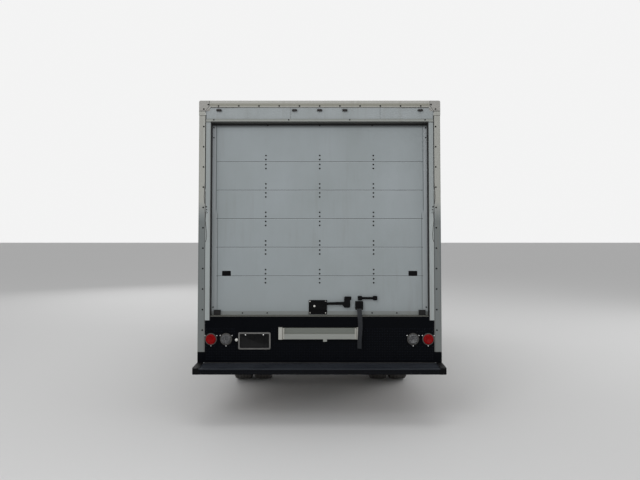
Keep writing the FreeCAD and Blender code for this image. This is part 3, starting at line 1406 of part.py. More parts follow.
def tyre(centre):
    half = tyre_width / 2
    seat = rim_seat_radius + running_gap
    bead = half - bead_inset - running_gap
    side = [(bead, seat), (bead, seat + 18), (half, seat + 66), (half, tyre_radius - 62),
            (half - 22, tyre_radius)]
    profile = side + [(-x, radius) for x, radius in reversed(side)]
    return turned(profile, centre)


def wheel(centre, plane_x):
    """A pressed steel wheel: rim with drop centre and flanges, and a holed disc out to the bolting plane."""
    half = tyre_width / 2 - bead_inset
    r = rim_seat_radius
    t = rim_wall
    well = r - 26
    rim = [
        (-half, r + 16), (-half, r), (-half + 45, r), (-half + 62, well), (half - 62, well), (half - 45, r),
        (half, r), (half, r + 16), (half + 8, r + 13), (half + 8, r - t), (half - 48, r - t),
        (half - 65, well - t), (-half + 65, well - t), (-half + 48, r - t), (-half - 8, r - t),
        (-half - 8, r + 13),
    ]
    barrel = turned(rim, centre)
    toward = 1 if plane_x > 0 else -1
    near = plane_x - toward * disc_thickness
    disc = [
        (-toward * 2, well - t + 1), (near, 140), (near, disc_bore), (plane_x, disc_bore), (plane_x, 152),
        (toward * 14, well - t + 1),
    ]
    window = rod(centre + V(plane_x - 90, 0, 150), centre + V(plane_x + 90, 0, 150), 18)
    return barrel.fuse(turned(disc, centre)).cut(group(ring_of(window, centre, 8)))


def hub(centre, inner, outer_x, plane_x, side, radius, bore):
    """The hub drum with its studs, nuts and cap."""
    body = rod(centre + V(inner, 0, 0), centre + V(plane_x - side * 9.0, 0, 0), 96)
    flange = rod(centre + V(plane_x - side * 30, 0, 0), centre + V(plane_x - side * 9, 0, 0),
                 bolt_circle / 2 + 26)
    nose_part = rod(centre + V(plane_x - side * 9, 0, 0), centre + V(outer_x, 0, 0), radius)
    cap = rod(centre + V(outer_x - side * 0.5, 0, 0), centre + V(outer_x + side * 8, 0, 0), radius - 16)
    on_circle = centre + V(plane_x, 0, bolt_circle / 2)
    nut = rod(on_circle - V(side * 10, 0, 0), on_circle + V(side * 18, 0, 0), 16)
    stud = rod(on_circle, on_circle + V(side * 30, 0, 0), 9)
    drum = rod(centre + V(inner, 0, 0), centre + V(inner + side * 78, 0, 0), 158)
    whole = fuse([body, flange, nose_part, cap, drum] + ring_of(nut, centre, lug_count)
                 + ring_of(stud, centre, lug_count))
    hole = rod(centre + V(inner - side * 5, 0, 0), centre + V(plane_x - side * 4, 0, 0), bore)
    return whole.cut(hole)


def front_wheel_pieces():
    centre = V(front_track / 2, front_axle_y, hub_height)
    rubber = tyre(centre)
    steel = wheel(centre, front_offset)
    middle = hub(centre, -28.0, front_offset + 58.0, front_offset, 1, 62, spindle_radius + running_gap)
    return rubber, fuse([steel, middle])


def rear_wheel_pieces():
    y, z = rear_axle_y, hub_height
    outer_centre = V(rear_track / 2 + dual_spacing / 2, y, z)
    inner_centre = V(rear_track / 2 - dual_spacing / 2, y, z)
    offset = dual_spacing / 2
    outer_disc = wheel(outer_centre, -offset)
    inner_disc = wheel(inner_centre, offset)
    hub_centre = V(rear_track / 2, y, z)
    middle = hub(hub_centre, -150.0, 104.0, 9.0, 1, 84, rear_stub_radius + running_gap)
    return group([tyre(outer_centre), tyre(inner_centre)]), fuse([outer_disc, inner_disc, middle])


def knuckle():
    """The right steering knuckle: ears above and below the beam's boss, kingpin, spindle and arm."""
    x, y, z = kingpin_x, front_axle_y, hub_height
    top = boss_high + running_gap
    low = boss_low - running_gap
    ears = [rod(V(x, y, top), V(x, y, top + ear_thickness), 40),
            rod(V(x, y, low - ear_thickness), V(x, y, low), 40)]
    for z0 in (top, low - ear_thickness):
        ears.append(block(x, x + ear_length + 16, y - 38, y + 38, z0, z0 + ear_thickness))
    back = block(x + ear_length, x + ear_length + 18, y - 38, y + 38, low - ear_thickness,
                 top + ear_thickness)
    pin = rod(V(x, y, low - ear_thickness - 6), V(x, y, top + ear_thickness + 6), kingpin_radius)
    spindle = rod(V(x + ear_length + 2, y, z), V(front_track / 2 + front_offset - 22, y, z), spindle_radius)
    collar = rod(V(x + ear_length + 2, y, z), V(front_track / 2 - 30, y, z), 52)
    w = steering_arm_width / 2
    arm_low = low - ear_thickness
    arm = plan_prism([(x - w, y - 20), (x - w, y - steering_arm_length - w, w - 1),
                      (x + w, y - steering_arm_length - w, w - 1), (x + w, y - 20)],
                     arm_low, arm_low + steering_arm_thickness)
    hole = rod(V(x, y - steering_arm_length, arm_low - 5),
               V(x, y - steering_arm_length, arm_low + steering_arm_thickness + 5), ball_pin + running_gap)
    return fuse(ears + [back, pin, spindle, collar, arm]).cut(hole)


def tie_rod():
    """The rod between the two steering arms, hung below them on a ball pin at each end."""
    y = front_axle_y - steering_arm_length
    arm_low = boss_low - running_gap - ear_thickness
    z = arm_low - running_gap - tie_rod_eye
    bar = rod(V(-kingpin_x, y, z), V(kingpin_x, y, z), tie_rod_radius)
    eyes = both_sides(rod(V(kingpin_x, y, z - tie_rod_eye), V(kingpin_x, y, z + tie_rod_eye), tie_rod_eye))
    pins = both_sides(rod(V(kingpin_x, y, z), V(kingpin_x, y, arm_low + steering_arm_thickness + 8),
                          ball_pin))
    sleeves = both_sides(rod(V(kingpin_x - 120, y, z), V(kingpin_x - 30, y, z), tie_rod_radius + 5))
    return fuse([bar] + eyes + pins + sleeves)


def main():
    export("ladder_frame", ladder_frame())
    export("front_axle", front_axle())
    export("tie_rod", tie_rod())
    export("rear_axle", rear_axle())
    export("powertrain", powertrain())
    export("exhaust", exhaust())
    export("fuel_tank", fuel_tank())
    export("battery_box", battery_box())
    export("mud_flaps", mud_flaps())
    export("front_bumper", front_bumper())
    export("box_floor", box_floor())
    export("box_side_walls", group(both_sides(side_wall())))
    export("box_front_wall", front_wall())
    export("box_roof", box_roof())
    export("rear_frame", rear_frame())
    export("rollup_door", rollup_door())
    export("door_tracks", door_tracks())
    export("door_latch", door_latch())
    export("pull_strap", pull_strap())
    export("rear_sill", rear_sill())
    export("step_bumper", step_bumper())
    export("body_lamps", body_lamps())
    export("licence_plate", licence_plate())
    export("ramp", ramp())
    outer = cab_form(0.0, cab_skirt)
    export("cab_shell", cab_shell(outer))
    export("cab_floor", cab_floor())
    export("cab_glass", cab_glass())
    export("grille", grille())
    export("headlamps", headlamps())
    export("dashboard", dashboard())
    export("seats", seats())
    export("steering_wheel", steering_wheel())
    sides = (("right", lambda shape: shape), ("left", mirrored))
    panes, heads = door_glass(), mirror()
    panel = cab_door(outer)
    rubber, steel = front_wheel_pieces()
    twin_rubber, twin_steel = rear_wheel_pieces()
    steer = knuckle()
    for name, turn in sides:
        export(f"cab_door_{name}", turn(panel))
        export(f"door_glass_{name}", turn(panes))
        export(f"mirror_{name}", turn(heads))
        export(f"tyre_front_{name}", turn(rubber))
        export(f"wheel_front_{name}", turn(steel))
        export(f"tyres_rear_{name}", turn(twin_rubber))
        export(f"wheels_rear_{name}", turn(twin_steel))
        export(f"knuckle_{name}", turn(steer))


main()
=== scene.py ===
import math

import bmesh
import bpy
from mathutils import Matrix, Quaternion, Vector


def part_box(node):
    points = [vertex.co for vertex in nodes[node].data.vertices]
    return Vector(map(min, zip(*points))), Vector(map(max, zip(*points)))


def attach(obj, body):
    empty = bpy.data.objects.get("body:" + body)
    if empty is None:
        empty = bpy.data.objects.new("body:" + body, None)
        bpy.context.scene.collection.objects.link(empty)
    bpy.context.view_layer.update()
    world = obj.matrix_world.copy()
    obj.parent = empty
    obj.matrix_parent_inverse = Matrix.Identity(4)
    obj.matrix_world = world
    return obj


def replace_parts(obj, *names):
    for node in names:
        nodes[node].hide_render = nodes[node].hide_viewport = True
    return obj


# A delivery truck with a square body, seen from behind: finishes, fastenings, lamps, tyres and trim.
# Metres, +Y forward, +X to the truck's right, +Z up.

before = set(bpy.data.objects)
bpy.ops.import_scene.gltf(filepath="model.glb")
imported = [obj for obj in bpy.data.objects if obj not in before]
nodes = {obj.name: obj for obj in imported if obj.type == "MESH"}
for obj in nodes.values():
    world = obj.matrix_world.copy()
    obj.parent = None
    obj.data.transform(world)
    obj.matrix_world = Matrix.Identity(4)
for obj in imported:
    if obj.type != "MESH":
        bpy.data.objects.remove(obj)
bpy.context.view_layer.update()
scene = bpy.context.scene
print("frame loaded:", len(nodes), "nodes")


# Places read from the frame

def low(node):
    return Vector(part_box(node)[0])


def high(node):
    return Vector(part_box(node)[1])


rearFace = low("rear_frame").y + 0.006          # the outer posts' rear plane
bodyHalf = high("rear_frame").x
bodyTop = high("box_roof").z
bodyFront = high("box_front_wall").y
floorTop = high("box_floor").z
doorFace = low("rollup_door").y + 0.034         # the flat of the door's panels
doorTop = 2.946                                 # the header trim's lower edge
postRepair = 2.04                               # below this the posts were painted again
bumperTop = floorTop - 0.464
stepBack = low("step_bumper").y
lampHeight = floorTop - 0.228
stopLampX = 1.083                               # from the middle, on both sides
reverseLampX = 0.932
cabFront = high("cab_shell").y
cabBack = low("cab_shell").y
hubHeight = (low("tyre_front_left").z + high("tyre_front_left").z) / 2
rearward = (0, -1, 0)
sides = (("left", -1), ("right", 1))


# Camera

cameraSpec = {
    "place": (0.05, -10.525, 1.93),
    "pitch": 2.6,                                # degrees up
    "lens": 40.86,
    "shift": (-0.0072, -0.0785),
}


def makeCamera(spec):
    data = bpy.data.cameras.new("viewCamera")
    data.lens = spec["lens"]
    data.sensor_width = 36.0
    data.shift_x, data.shift_y = spec["shift"]
    data.clip_end = 200.0
    camera = bpy.data.objects.new("viewCamera", data)
    camera.location = spec["place"]
    camera.rotation_euler = (math.radians(90 + spec["pitch"]), 0, 0)
    scene.collection.objects.link(camera)
    scene.camera = camera


makeCamera(cameraSpec)
print("camera ready")


# Shader effects that several finishes share

def feed(tree, sockets, values):
    # links what comes from another node, and sets what is plain
    for key, value in values.items():
        if isinstance(value, bpy.types.NodeSocket):
            tree.links.new(value, sockets[key])
        else:
            sockets[key].default_value = value


def put(tree, kind, feeds=None, **options):
    node = tree.nodes.new("ShaderNode" + kind)
    for key, value in options.items():
        setattr(node, key, value)
    feed(tree, node.inputs, feeds or {})
    return node


def calc(tree, operation, first, second=0.0, clamp=False):
    return put(tree, "Math", {0: first, 1: second}, operation=operation, use_clamp=clamp).outputs[0]


def vectorCalc(tree, operation, *vectors):
    return put(tree, "VectorMath", dict(enumerate(vectors)), operation=operation).outputs


def ramped(tree, value, fromLow, fromHigh, toLow=0.0, toHigh=1.0):
    feeds = {"Value": value, "From Min": fromLow, "From Max": fromHigh, "To Min": toLow, "To Max": toHigh}
    return put(tree, "MapRange", feeds).outputs["Result"]


def objectPlace(tree):
    return put(tree, "TexCoord").outputs["Object"]


def split(tree, vector):
    return put(tree, "SeparateXYZ", {0: vector}).outputs


def stretched(tree, place, x, y, z):
    scales = put(tree, "CombineXYZ", {"X": x, "Y": y, "Z": z}).outputs[0]
    return vectorCalc(tree, "MULTIPLY", place, scales)[0]


def noise(tree, place, scale, detail, rough=0.5):
    feeds = {"Vector": place, "Scale": scale, "Detail": detail, "Roughness": rough}
    return put(tree, "TexNoise", feeds).outputs["Fac"]


def newEffect(name, inputs, outputs):
    tree = bpy.data.node_groups.new(name, "ShaderNodeTree")
    for label, value in inputs.items():
        kind = "NodeSocketVector" if isinstance(value, tuple) else "NodeSocketFloat"
        socket = tree.interface.new_socket(name=label, in_out="INPUT", socket_type=kind)
        socket.default_value = value
    for label in outputs:
        tree.interface.new_socket(name=label, in_out="OUTPUT", socket_type="NodeSocketFloat")
    return tree, tree.nodes.new("NodeGroupInput").outputs, tree.nodes.new("NodeGroupOutput").inputs


def makeRoadFilm():
    # dust that thickens toward the road, broken up by patches
    inputs = {"Top": 1.0, "Fade": 0.8, "Amount": 0.4, "Patch Scale": 3.0}
    tree, given, out = newEffect("roadFilm", inputs, ["Mask"])
    place = objectPlace(tree)
    cloud = noise(tree, place, given["Patch Scale"], 6.0, 0.62)
    fine = noise(tree, place, 42.0, 4.0, 0.7)
    shift = calc(tree, "MULTIPLY", calc(tree, "SUBTRACT", cloud, 0.5), given["Fade"])
    depth = calc(tree, "SUBTRACT", given["Top"], calc(tree, "ADD", split(tree, place)["Z"], shift))
    thick = calc(tree, "DIVIDE", depth, given["Fade"], clamp=True)
    broken = calc(tree, "MULTIPLY", thick, ramped(tree, fine, 0.3, 0.7, 0.55, 1.0))
    tree.links.new(calc(tree, "MULTIPLY", broken, given["Amount"]), out["Mask"])
    return tree


def makeMottle():
    # broad, soft changes of shade
    tree, given, out = newEffect("mottle", {"Scale": 3.0, "Rise Scale": 1.0}, ["Value"])
    place = stretched(tree, objectPlace(tree), 1.0, 1.0, given["Rise Scale"])
    tree.links.new(ramped(tree, noise(tree, place, given["Scale"], 7.0, 0.58), 0.3, 0.7), out["Value"])
    return tree


def makeRunMarks():
    # thin vertical runs of dirt, as rain leaves them below seams and bolts
    tree, given, out = newEffect("runMarks", {"Density": 26.0, "Amount": 0.5}, ["Mask"])
    place = objectPlace(tree)
    drawn = stretched(tree, place, given["Density"], given["Density"], 1.3)
    lines = ramped(tree, noise(tree, drawn, 1.0, 3.0, 0.6), 0.52, 0.76)
    areas = ramped(tree, noise(tree, place, 1.7, 2.0), 0.38, 0.62)
    tree.links.new(calc(tree, "MULTIPLY", calc(tree, "MULTIPLY", lines, areas), given["Amount"]), out["Mask"])
    return tree


def makeEdgeRub():
    # bare or scuffed edges, found by comparing the rounded normal with the flat one
    tree, given, out = newEffect("edgeRub", {"Radius": 0.004, "Amount": 0.6}, ["Mask"])
    bevel = put(tree, "Bevel", {"Radius": given["Radius"]}, samples=4).outputs[0]
    flat = put(tree, "NewGeometry").outputs["True Normal"]
    edge = ramped(tree, vectorCalc(tree, "DOT_PRODUCT", bevel, flat)["Value"], 0.99, 0.82)
    chips = ramped(tree, noise(tree, objectPlace(tree), 24.0, 8.0, 0.7), 0.42, 0.6)
    torn = calc(tree, "MULTIPLY", edge, chips)
    tree.links.new(calc(tree, "MULTIPLY", torn, given["Amount"], clamp=True), out["Mask"])
    return tree


def makeGrain():
    tree, given, out = newEffect("grain", {"Scale": 400.0, "Roughness": 0.6}, ["Height"])
    tree.links.new(noise(tree, objectPlace(tree), given["Scale"], 4.0, given["Roughness"]), out["Height"])
    return tree


def makeRegion():
    # 1 inside a block that is the same on the truck's left and right, fading to 0 over the soft width
    inputs = {"Low": (0.0, 0.0, 0.0), "High": (1.0, 1.0, 1.0), "Soft": (0.0004, 0.0004, 0.0004)}
    tree, given, out = newEffect("region", inputs, ["Mask"])
    spot = split(tree, objectPlace(tree))
    least, most, soft = (split(tree, given[label]) for label in inputs)
    inside = 1.0
    for axis in "XYZ":
        here = calc(tree, "ABSOLUTE", spot["X"]) if axis == "X" else spot[axis]
        above = calc(tree, "DIVIDE", calc(tree, "SUBTRACT", here, least[axis]), soft[axis], clamp=True)
        below = calc(tree, "DIVIDE", calc(tree, "SUBTRACT", most[axis], here), soft[axis], clamp=True)
        inside = calc(tree, "MULTIPLY", inside, calc(tree, "MULTIPLY", above, below))
    tree.links.new(inside, out["Mask"])
    return tree


def makeInward():
    # 1 on faces that look back toward a middle point, such as a cab's lining
    tree, given, out = newEffect("inward", {"Middle": (0.0, 0.0, 0.0)}, ["Mask"])
    coord = put(tree, "TexCoord").outputs
    toward = vectorCalc(tree, "SUBTRACT", coord["Object"], given["Middle"])[0]
    toward = vectorCalc(tree, "NORMALIZE", toward)[0]
    facing = vectorCalc(tree, "DOT_PRODUCT", toward, coord["Normal"])["Value"]
    tree.links.new(calc(tree, "LESS_THAN", facing, -0.12), out["Mask"])
    return tree


def makeWeave():
    tree, given, out = newEffect("weave", {"Pitch": 0.004}, ["Height", "Thread"])
    spot = split(tree, objectPlace(tree))
    turn = calc(tree, "DIVIDE", 2 * math.pi, given["Pitch"])
    warp = calc(tree, "SINE", calc(tree, "MULTIPLY", calc(tree, "ADD", spot["Y"], spot["Z"]), turn))
    weft = calc(tree, "SINE", calc(tree, "MULTIPLY", spot["X"], turn))
    tree.links.new(ramped(tree, calc(tree, "MULTIPLY", warp, weft), -1.0, 1.0), out["Height"])
    tree.links.new(ramped(tree, calc(tree, "ADD", warp, weft), -1.4, 1.4), out["Thread"])
    return tree


effects = {
    "film": makeRoadFilm(), "mottle": makeMottle(), "runs": makeRunMarks(), "rub": makeEdgeRub(),
    "grain": makeGrain(), "region": makeRegion(), "inward": makeInward(), "weave": makeWeave(),
}
print("shader effects built:", len(effects))


# Ways to make a finish

def effect(tree, name, feeds):
    return put(tree, "Group", feeds, node_tree=effects[name]).outputs


def blended(tree, mask, base, top):
    base, top = (value if isinstance(value, bpy.types.NodeSocket) else (*value, 1.0) for value in (base, top))
    return put(tree, "Mix", {"Factor": mask, 6: base, 7: top}, data_type="RGBA").outputs[2]


def blendedValue(tree, mask, base, top):
    return put(tree, "Mix", {"Factor": mask, 2: base, 3: top}, data_type="FLOAT").outputs[0]


def raised(tree, height, strength, distance=0.002):
    bump = put(tree, "Bump", {"Height": height, "Strength": strength, "Distance": distance})
    return bump.outputs["Normal"]


def newMaterial(name):
    material = bpy.data.materials.new(name)
    material.use_nodes = True
    tree = material.node_tree
    return material, tree, tree.nodes["Principled BSDF"].inputs


plainFinish = {
    "colour": (0.5, 0.5, 0.5), "second": None, "mottleScale": 3.0, "mottleRise": 1.0,
    "rough": 0.4, "roughSpread": 0.12, "metal": 0.0, "specular": 0.5, "coat": 0.0, "coatRough": 0.12,
    "film": 0.3, "filmTop": 1.0, "filmFade": 0.8, "filmColour": (0.25, 0.235, 0.21), "filmRough": 0.92,
    "runs": 0.0, "runDensity": 26.0, "runColour": (0.12, 0.1, 0.08),
    "rub": 0.0, "rubRadius": 0.004, "rubColour": (0.3, 0.29, 0.27),
    "grain": 0.0, "grainScale": 300.0, "patches": {}, "lining": None,
}


def patched(tree, patches, bare, colour, rough):
    for patch in patches.values():
        if patch["bare"] == bare:
            edges = {"Low": patch["low"], "High": patch["high"], "Soft": patch["soft"]}
            mask = effect(tree, "region", edges)["Mask"]
            colour = blended(tree, mask, colour, patch["colour"])
            rough = blendedValue(tree, mask, rough, patch["rough"])
    return colour, rough


def makeFinish(name, **changes):
    look = {**plainFinish, **changes}
    material, tree, shader = newMaterial(name)
    second = look["second"] or tuple(c * 0.82 for c in look["colour"])
    mottle = effect(tree, "mottle", {"Scale": look["mottleScale"], "Rise Scale": look["mottleRise"]})["Value"]
    colour = blended(tree, mottle, look["colour"], second)
    spread = look["roughSpread"] / 2
    rough = ramped(tree, mottle, 0.0, 1.0, look["rough"] - spread, look["rough"] + spread)
    colour, rough = patched(tree, look["patches"], False, colour, rough)
    if look["lining"]:
        mask = effect(tree, "inward", {"Middle": look["lining"]["middle"]})["Mask"]
        colour = blended(tree, mask, colour, look["lining"]["colour"])
        rough = blendedValue(tree, mask, rough, look["lining"]["rough"])
    if look["runs"]:
        mask = effect(tree, "runs", {"Density": look["runDensity"], "Amount": look["runs"]})["Mask"]
        colour = blended(tree, mask, colour, look["runColour"])
    if look["rub"]:
        mask = effect(tree, "rub", {"Radius": look["rubRadius"], "Amount": look["rub"]})["Mask"]
        colour = blended(tree, mask, colour, look["rubColour"])
    if look["film"]:
        film = {"Top": look["filmTop"], "Fade": look["filmFade"], "Amount": look["film"]}
        mask = effect(tree, "film", film)["Mask"]
        colour = blended(tree, mask, colour, look["filmColour"])
        rough = blendedValue(tree, mask, rough, look["filmRough"])
    colour, rough = patched(tree, look["patches"], True, colour, rough)
    feed(tree, shader, {"Base Color": colour, "Roughness": rough, "Metallic": look["metal"],
                        "Specular IOR Level": look["specular"]})
    if look["coat"]:
        feed(tree, shader, {"Coat Weight": look["coat"], "Coat Roughness": look["coatRough"]})
    if look["grain"]:
        height = effect(tree, "grain", {"Scale": look["grainScale"]})["Height"]
        feed(tree, shader, {"Normal": raised(tree, height, look["grain"])})
    return material


def makeGlass(name, colour, alpha):
    material, tree, shader = newMaterial(name)
    mottle = effect(tree, "mottle", {"Scale": 5.0, "Rise Scale": 1.0})["Value"]
    film = effect(tree, "film", {"Top": 2.2, "Fade": 1.2, "Amount": 0.05})["Mask"]
    feed(tree, shader, {"Base Color": blended(tree, mottle, colour, tuple(c * 0.9 for c in colour)),
                        "Roughness": ramped(tree, film, 0.0, 1.0, 0.02, 0.6),
                        "Alpha": ramped(tree, film, 0.0, 1.0, alpha, 0.9), "IOR": 1.5})
    return material


def makeLens(name, colour, second, rings, coat=0.3, specular=0.3):
    # moulded plastic over a reflector, with fine ribs pressed into its back
    material, tree, shader = newMaterial(name)
    cells = put(tree, "TexVoronoi", {"Vector": objectPlace(tree), "Scale": rings})
    facet = ramped(tree, cells.outputs["Distance"], 0.0, 0.7)
    feed(tree, shader, {"Base Color": blended(tree, facet, colour, second), "Roughness": 0.22,
                        "Specular IOR Level": specular, "Coat Weight": coat, "Coat Roughness": 0.06,
                        "Normal": raised(tree, facet, 0.5)})
    return material


def makeCloth(name, colour, second, pitch, sheen):
    material, tree, shader = newMaterial(name)
    threads = effect(tree, "weave", {"Pitch": pitch})
    mottle = effect(tree, "mottle", {"Scale": 9.0, "Rise Scale": 1.0})["Value"]
    woven = blended(tree, threads["Thread"], colour, second)
    feed(tree, shader, {"Base Color": blended(tree, mottle, woven, tuple(c * 0.7 for c in colour)),
                        "Roughness": 0.88, "Sheen Weight": sheen,
                        "Normal": raised(tree, threads["Height"], 0.55, pitch * 0.35)})
    return material


# Patches of another colour on a node, laid on in this order

def patch(across, depth, rise, colour, rough, fade=0.0004, bare=False):
    # across counts from the truck's middle, so each patch is on both sides; a bare one lies over the dust
    least, most = zip(across, depth, rise)
    return {"low": least, "high": most, "soft": (0.0004, 0.0004, fade), "colour": colour, "rough": rough,
            "bare": bare}


postFoot = 0.3                                   # under the lowest end of the posts and the bumper
seamBreak = 2.25                                 # below this the seam of the posts is filled
stripRise = (floorTop + 0.04, doorTop + 0.02)
stripSkin = (doorFace - 0.0075, doorFace + 0.002)
shadeSkin = (doorFace - 0.01, doorFace + 0.01)
frameDepth = (rearFace - 0.02, rearFace + 0.2)
frameSkin = (rearFace - 0.02, rearFace + 0.003)
trimSkin = (rearFace - 0.02, rearFace + 0.0045)
seamDepth = (rearFace - 0.001, rearFace + 0.1)

doorPatches = {
    # strips and stripLow: the end strips are a real lighter part, and their colour is also lifted as painted
    # light against the shade of the recessed doorway
    "strips": patch((1.0575, 1.097), stripSkin, stripRise, (0.33, 0.357, 0.373), 0.45),
    "stripLine": patch((1.051, 1.0575), stripSkin, (postRepair, stripRise[1]), (0.1, 0.115, 0.12), 0.6, 0.03),
    "stripLow": patch((1.041, 1.097), stripSkin, (stripRise[0], postRepair), (0.3, 0.328, 0.34), 0.45, 0.03),
    "stripLowLine": patch((1.0355, 1.041), stripSkin, (stripRise[0], postRepair),
                          (0.085, 0.1, 0.105), 0.6, 0.03),
    # painted shade: black on every face set back behind the door's flat, in the grooves between the panels
    "grooves": patch((-1, 1.2), (doorFace + 0.0012, doorFace + 0.0095), (floorTop - 0.01, stripRise[1]),
                     (0.004, 0.0045, 0.005), 0.8, bare=True),
    # painted shade: black in the gap between the inner posts and the door's edges
    "gap": patch((1.097, 1.2), (doorFace - 0.0075, doorFace + 0.03), (floorTop, stripRise[1]),
                 (0.008, 0.009, 0.01), 0.8, bare=True),
    "shade": patch((-1, 1.2), shadeSkin, (doorTop - 0.053, doorTop + 0.03),
                   (0.003, 0.003, 0.003), 0.8, 0.036),
    "shadeTop": patch((-1, 1.2), shadeSkin, (doorTop - 0.006, doorTop + 0.03), (0.05, 0.052, 0.05), 0.7),
    # painted shade: black in the finger grips' recesses
    "grips": patch((0.895, 0.995), (doorFace + 0.0015, doorFace + 0.03), (1.386, 1.448),
                   (0.002, 0.002, 0.002),
                   0.8, bare=True),
    "rail": patch((-1, 1.2), (doorFace - 0.009, doorFace + 0.002), (floorTop - 0.01, floorTop + 0.0385),
                  (0.195, 0.21, 0.205), 0.42),
    "stops": patch((0.99, 1.07), (doorFace - 0.05, doorFace - 0.0075), (floorTop - 0.01, floorTop + 0.06),
                   (0.003, 0.003, 0.003), 0.7, bare=True),
}
framePatches = {
    "topRail": patch((-1, 1.3), frameDepth, (bodyTop - 0.0672, bodyTop + 0.01), (0.345, 0.345, 0.32), 0.45),
    # painted shade: the lower part of the top rail darker than its top
    "topRailLow": patch((-1, 1.3), frameSkin, (bodyTop - 0.0672, bodyTop - 0.02),
                        (0.215, 0.213, 0.178), 0.5, 0.016),
    "headerTrim": patch((-1, 1.15), trimSkin, (doorTop - 0.001, doorTop + 0.0315),
                        (0.235, 0.25, 0.233), 0.45),
    "trimLine": patch((-1, 1.15), trimSkin, (doorTop + 0.026, doorTop + 0.0315), (0.13, 0.14, 0.13), 0.6),
    "trimShade": patch((-1, 1.1), frameDepth, (doorTop - 0.001, doorTop + 0.009), (0.06, 0.063, 0.06), 0.6),
    "outerPost": patch((1.15, 1.3), frameDepth, (postRepair - 0.1, bodyTop + 0.12),
                       (0.3, 0.305, 0.28), 0.5, 0.22),
    "outerPostLow": patch((1.15, 1.3), frameDepth, (postFoot, postRepair + 0.1),
                          (0.12, 0.136, 0.136), 0.5, 0.2),
    "innerPost": patch((1.0995, 1.148), frameSkin, (postRepair, doorTop), (0.243, 0.27, 0.272), 0.45, 0.002),
    "innerPostLow": patch((1.0995, 1.148), frameSkin, (postFoot, postRepair + 0.02),
                          (0.29, 0.32, 0.32), 0.42, 0.08),
    "casting": patch((1.11, 1.3), frameDepth, (bodyTop - 0.106, bodyTop + 0.01), (0.28, 0.275, 0.26), 0.5),
    # painted shade: black in the slit between the outer and inner posts
    "postSeam": patch((1.1455, 1.1555), seamDepth, (seamBreak, bodyTop - 0.105),
                      (0.002, 0.002, 0.002), 0.8, 0.03, bare=True),
    "postSeamLow": patch((1.1455, 1.1535), seamDepth, (postFoot, seamBreak), (0.06, 0.065, 0.065), 0.7),
    # painted shade: black in the gap between the inner posts and the door
    "postGap": patch((1.09, 1.0995), frameDepth, (postFoot, doorTop), (0.008, 0.008, 0.008), 0.8, bare=True),
}
sillPatches = {
    "rampGuides": patch((0.369, 0.411), (rearFace - 0.05, rearFace + 0.012), (0.766, 0.889),
                        (0.4, 0.4, 0.37), 0.45),
    "edge": patch((-1, 1.09), (rearFace - 0.012, rearFace + 0.09), (floorTop - 0.004, floorTop + 0.01),
                  (0.13, 0.13, 0.115), 0.5),
}
stepPatches = {
    # painted shade: the upright lip painted darker than the top of the same black bumper
    "lip": patch((-1, 1.155), (stepBack - 0.01, stepBack + 0.02), (postFoot, bumperTop - 0.004),
                 (0.0008, 0.0011, 0.002), 0.5),
    # painted highlight along the bumper's front edge
    "edge": patch((-1, 1.155), (stepBack - 0.01, stepBack + 0.012), (bumperTop - 0.006, bumperTop + 0.01),
                  (0.035, 0.038, 0.045), 0.4),
    "caps": patch((1.155, 1.3), (-4.0, -3.0), (postFoot, bumperTop + 0.02), (0.002, 0.002, 0.0025), 0.6),
}
rampPatches = {
    # painted shade: the ramp's faces are painted darker than its own colour, as the shade it stands in, the
    # upper face darkest
    "upper": patch((-1, 0.35), (rearFace - 0.05, rearFace + 0.012), (0.8245, 0.9),
                   (0.115, 0.125, 0.11), 0.45),
    "lower": patch((-1, 0.35), (rearFace - 0.05, rearFace - 0.0065), (0.7, 0.8245),
                   (0.225, 0.235, 0.22), 0.42),
    "caps": patch((0.35, 0.4), (rearFace - 0.05, rearFace + 0.01), (0.7, 0.95), (0.3, 0.3, 0.27), 0.5),
}
cabMiddle = (0, (cabFront + cabBack) / 2, 1.55)
cabLining = {"middle": cabMiddle, "colour": (0.12, 0.12, 0.125), "rough": 0.75}
doorLining = {"middle": cabMiddle, "colour": (0.1, 0.1, 0.105), "rough": 0.7}
cabPaint = {
    "colour": (0.66, 0.67, 0.66), "second": (0.62, 0.63, 0.62), "mottleScale": 1.4, "rough": 0.26, "coat": 0.8,
    "coatRough": 0.06, "film": 0.4, "filmTop": 1.15, "filmFade": 0.7, "grain": 0.02, "grainScale": 120.0,
}


# Finishes

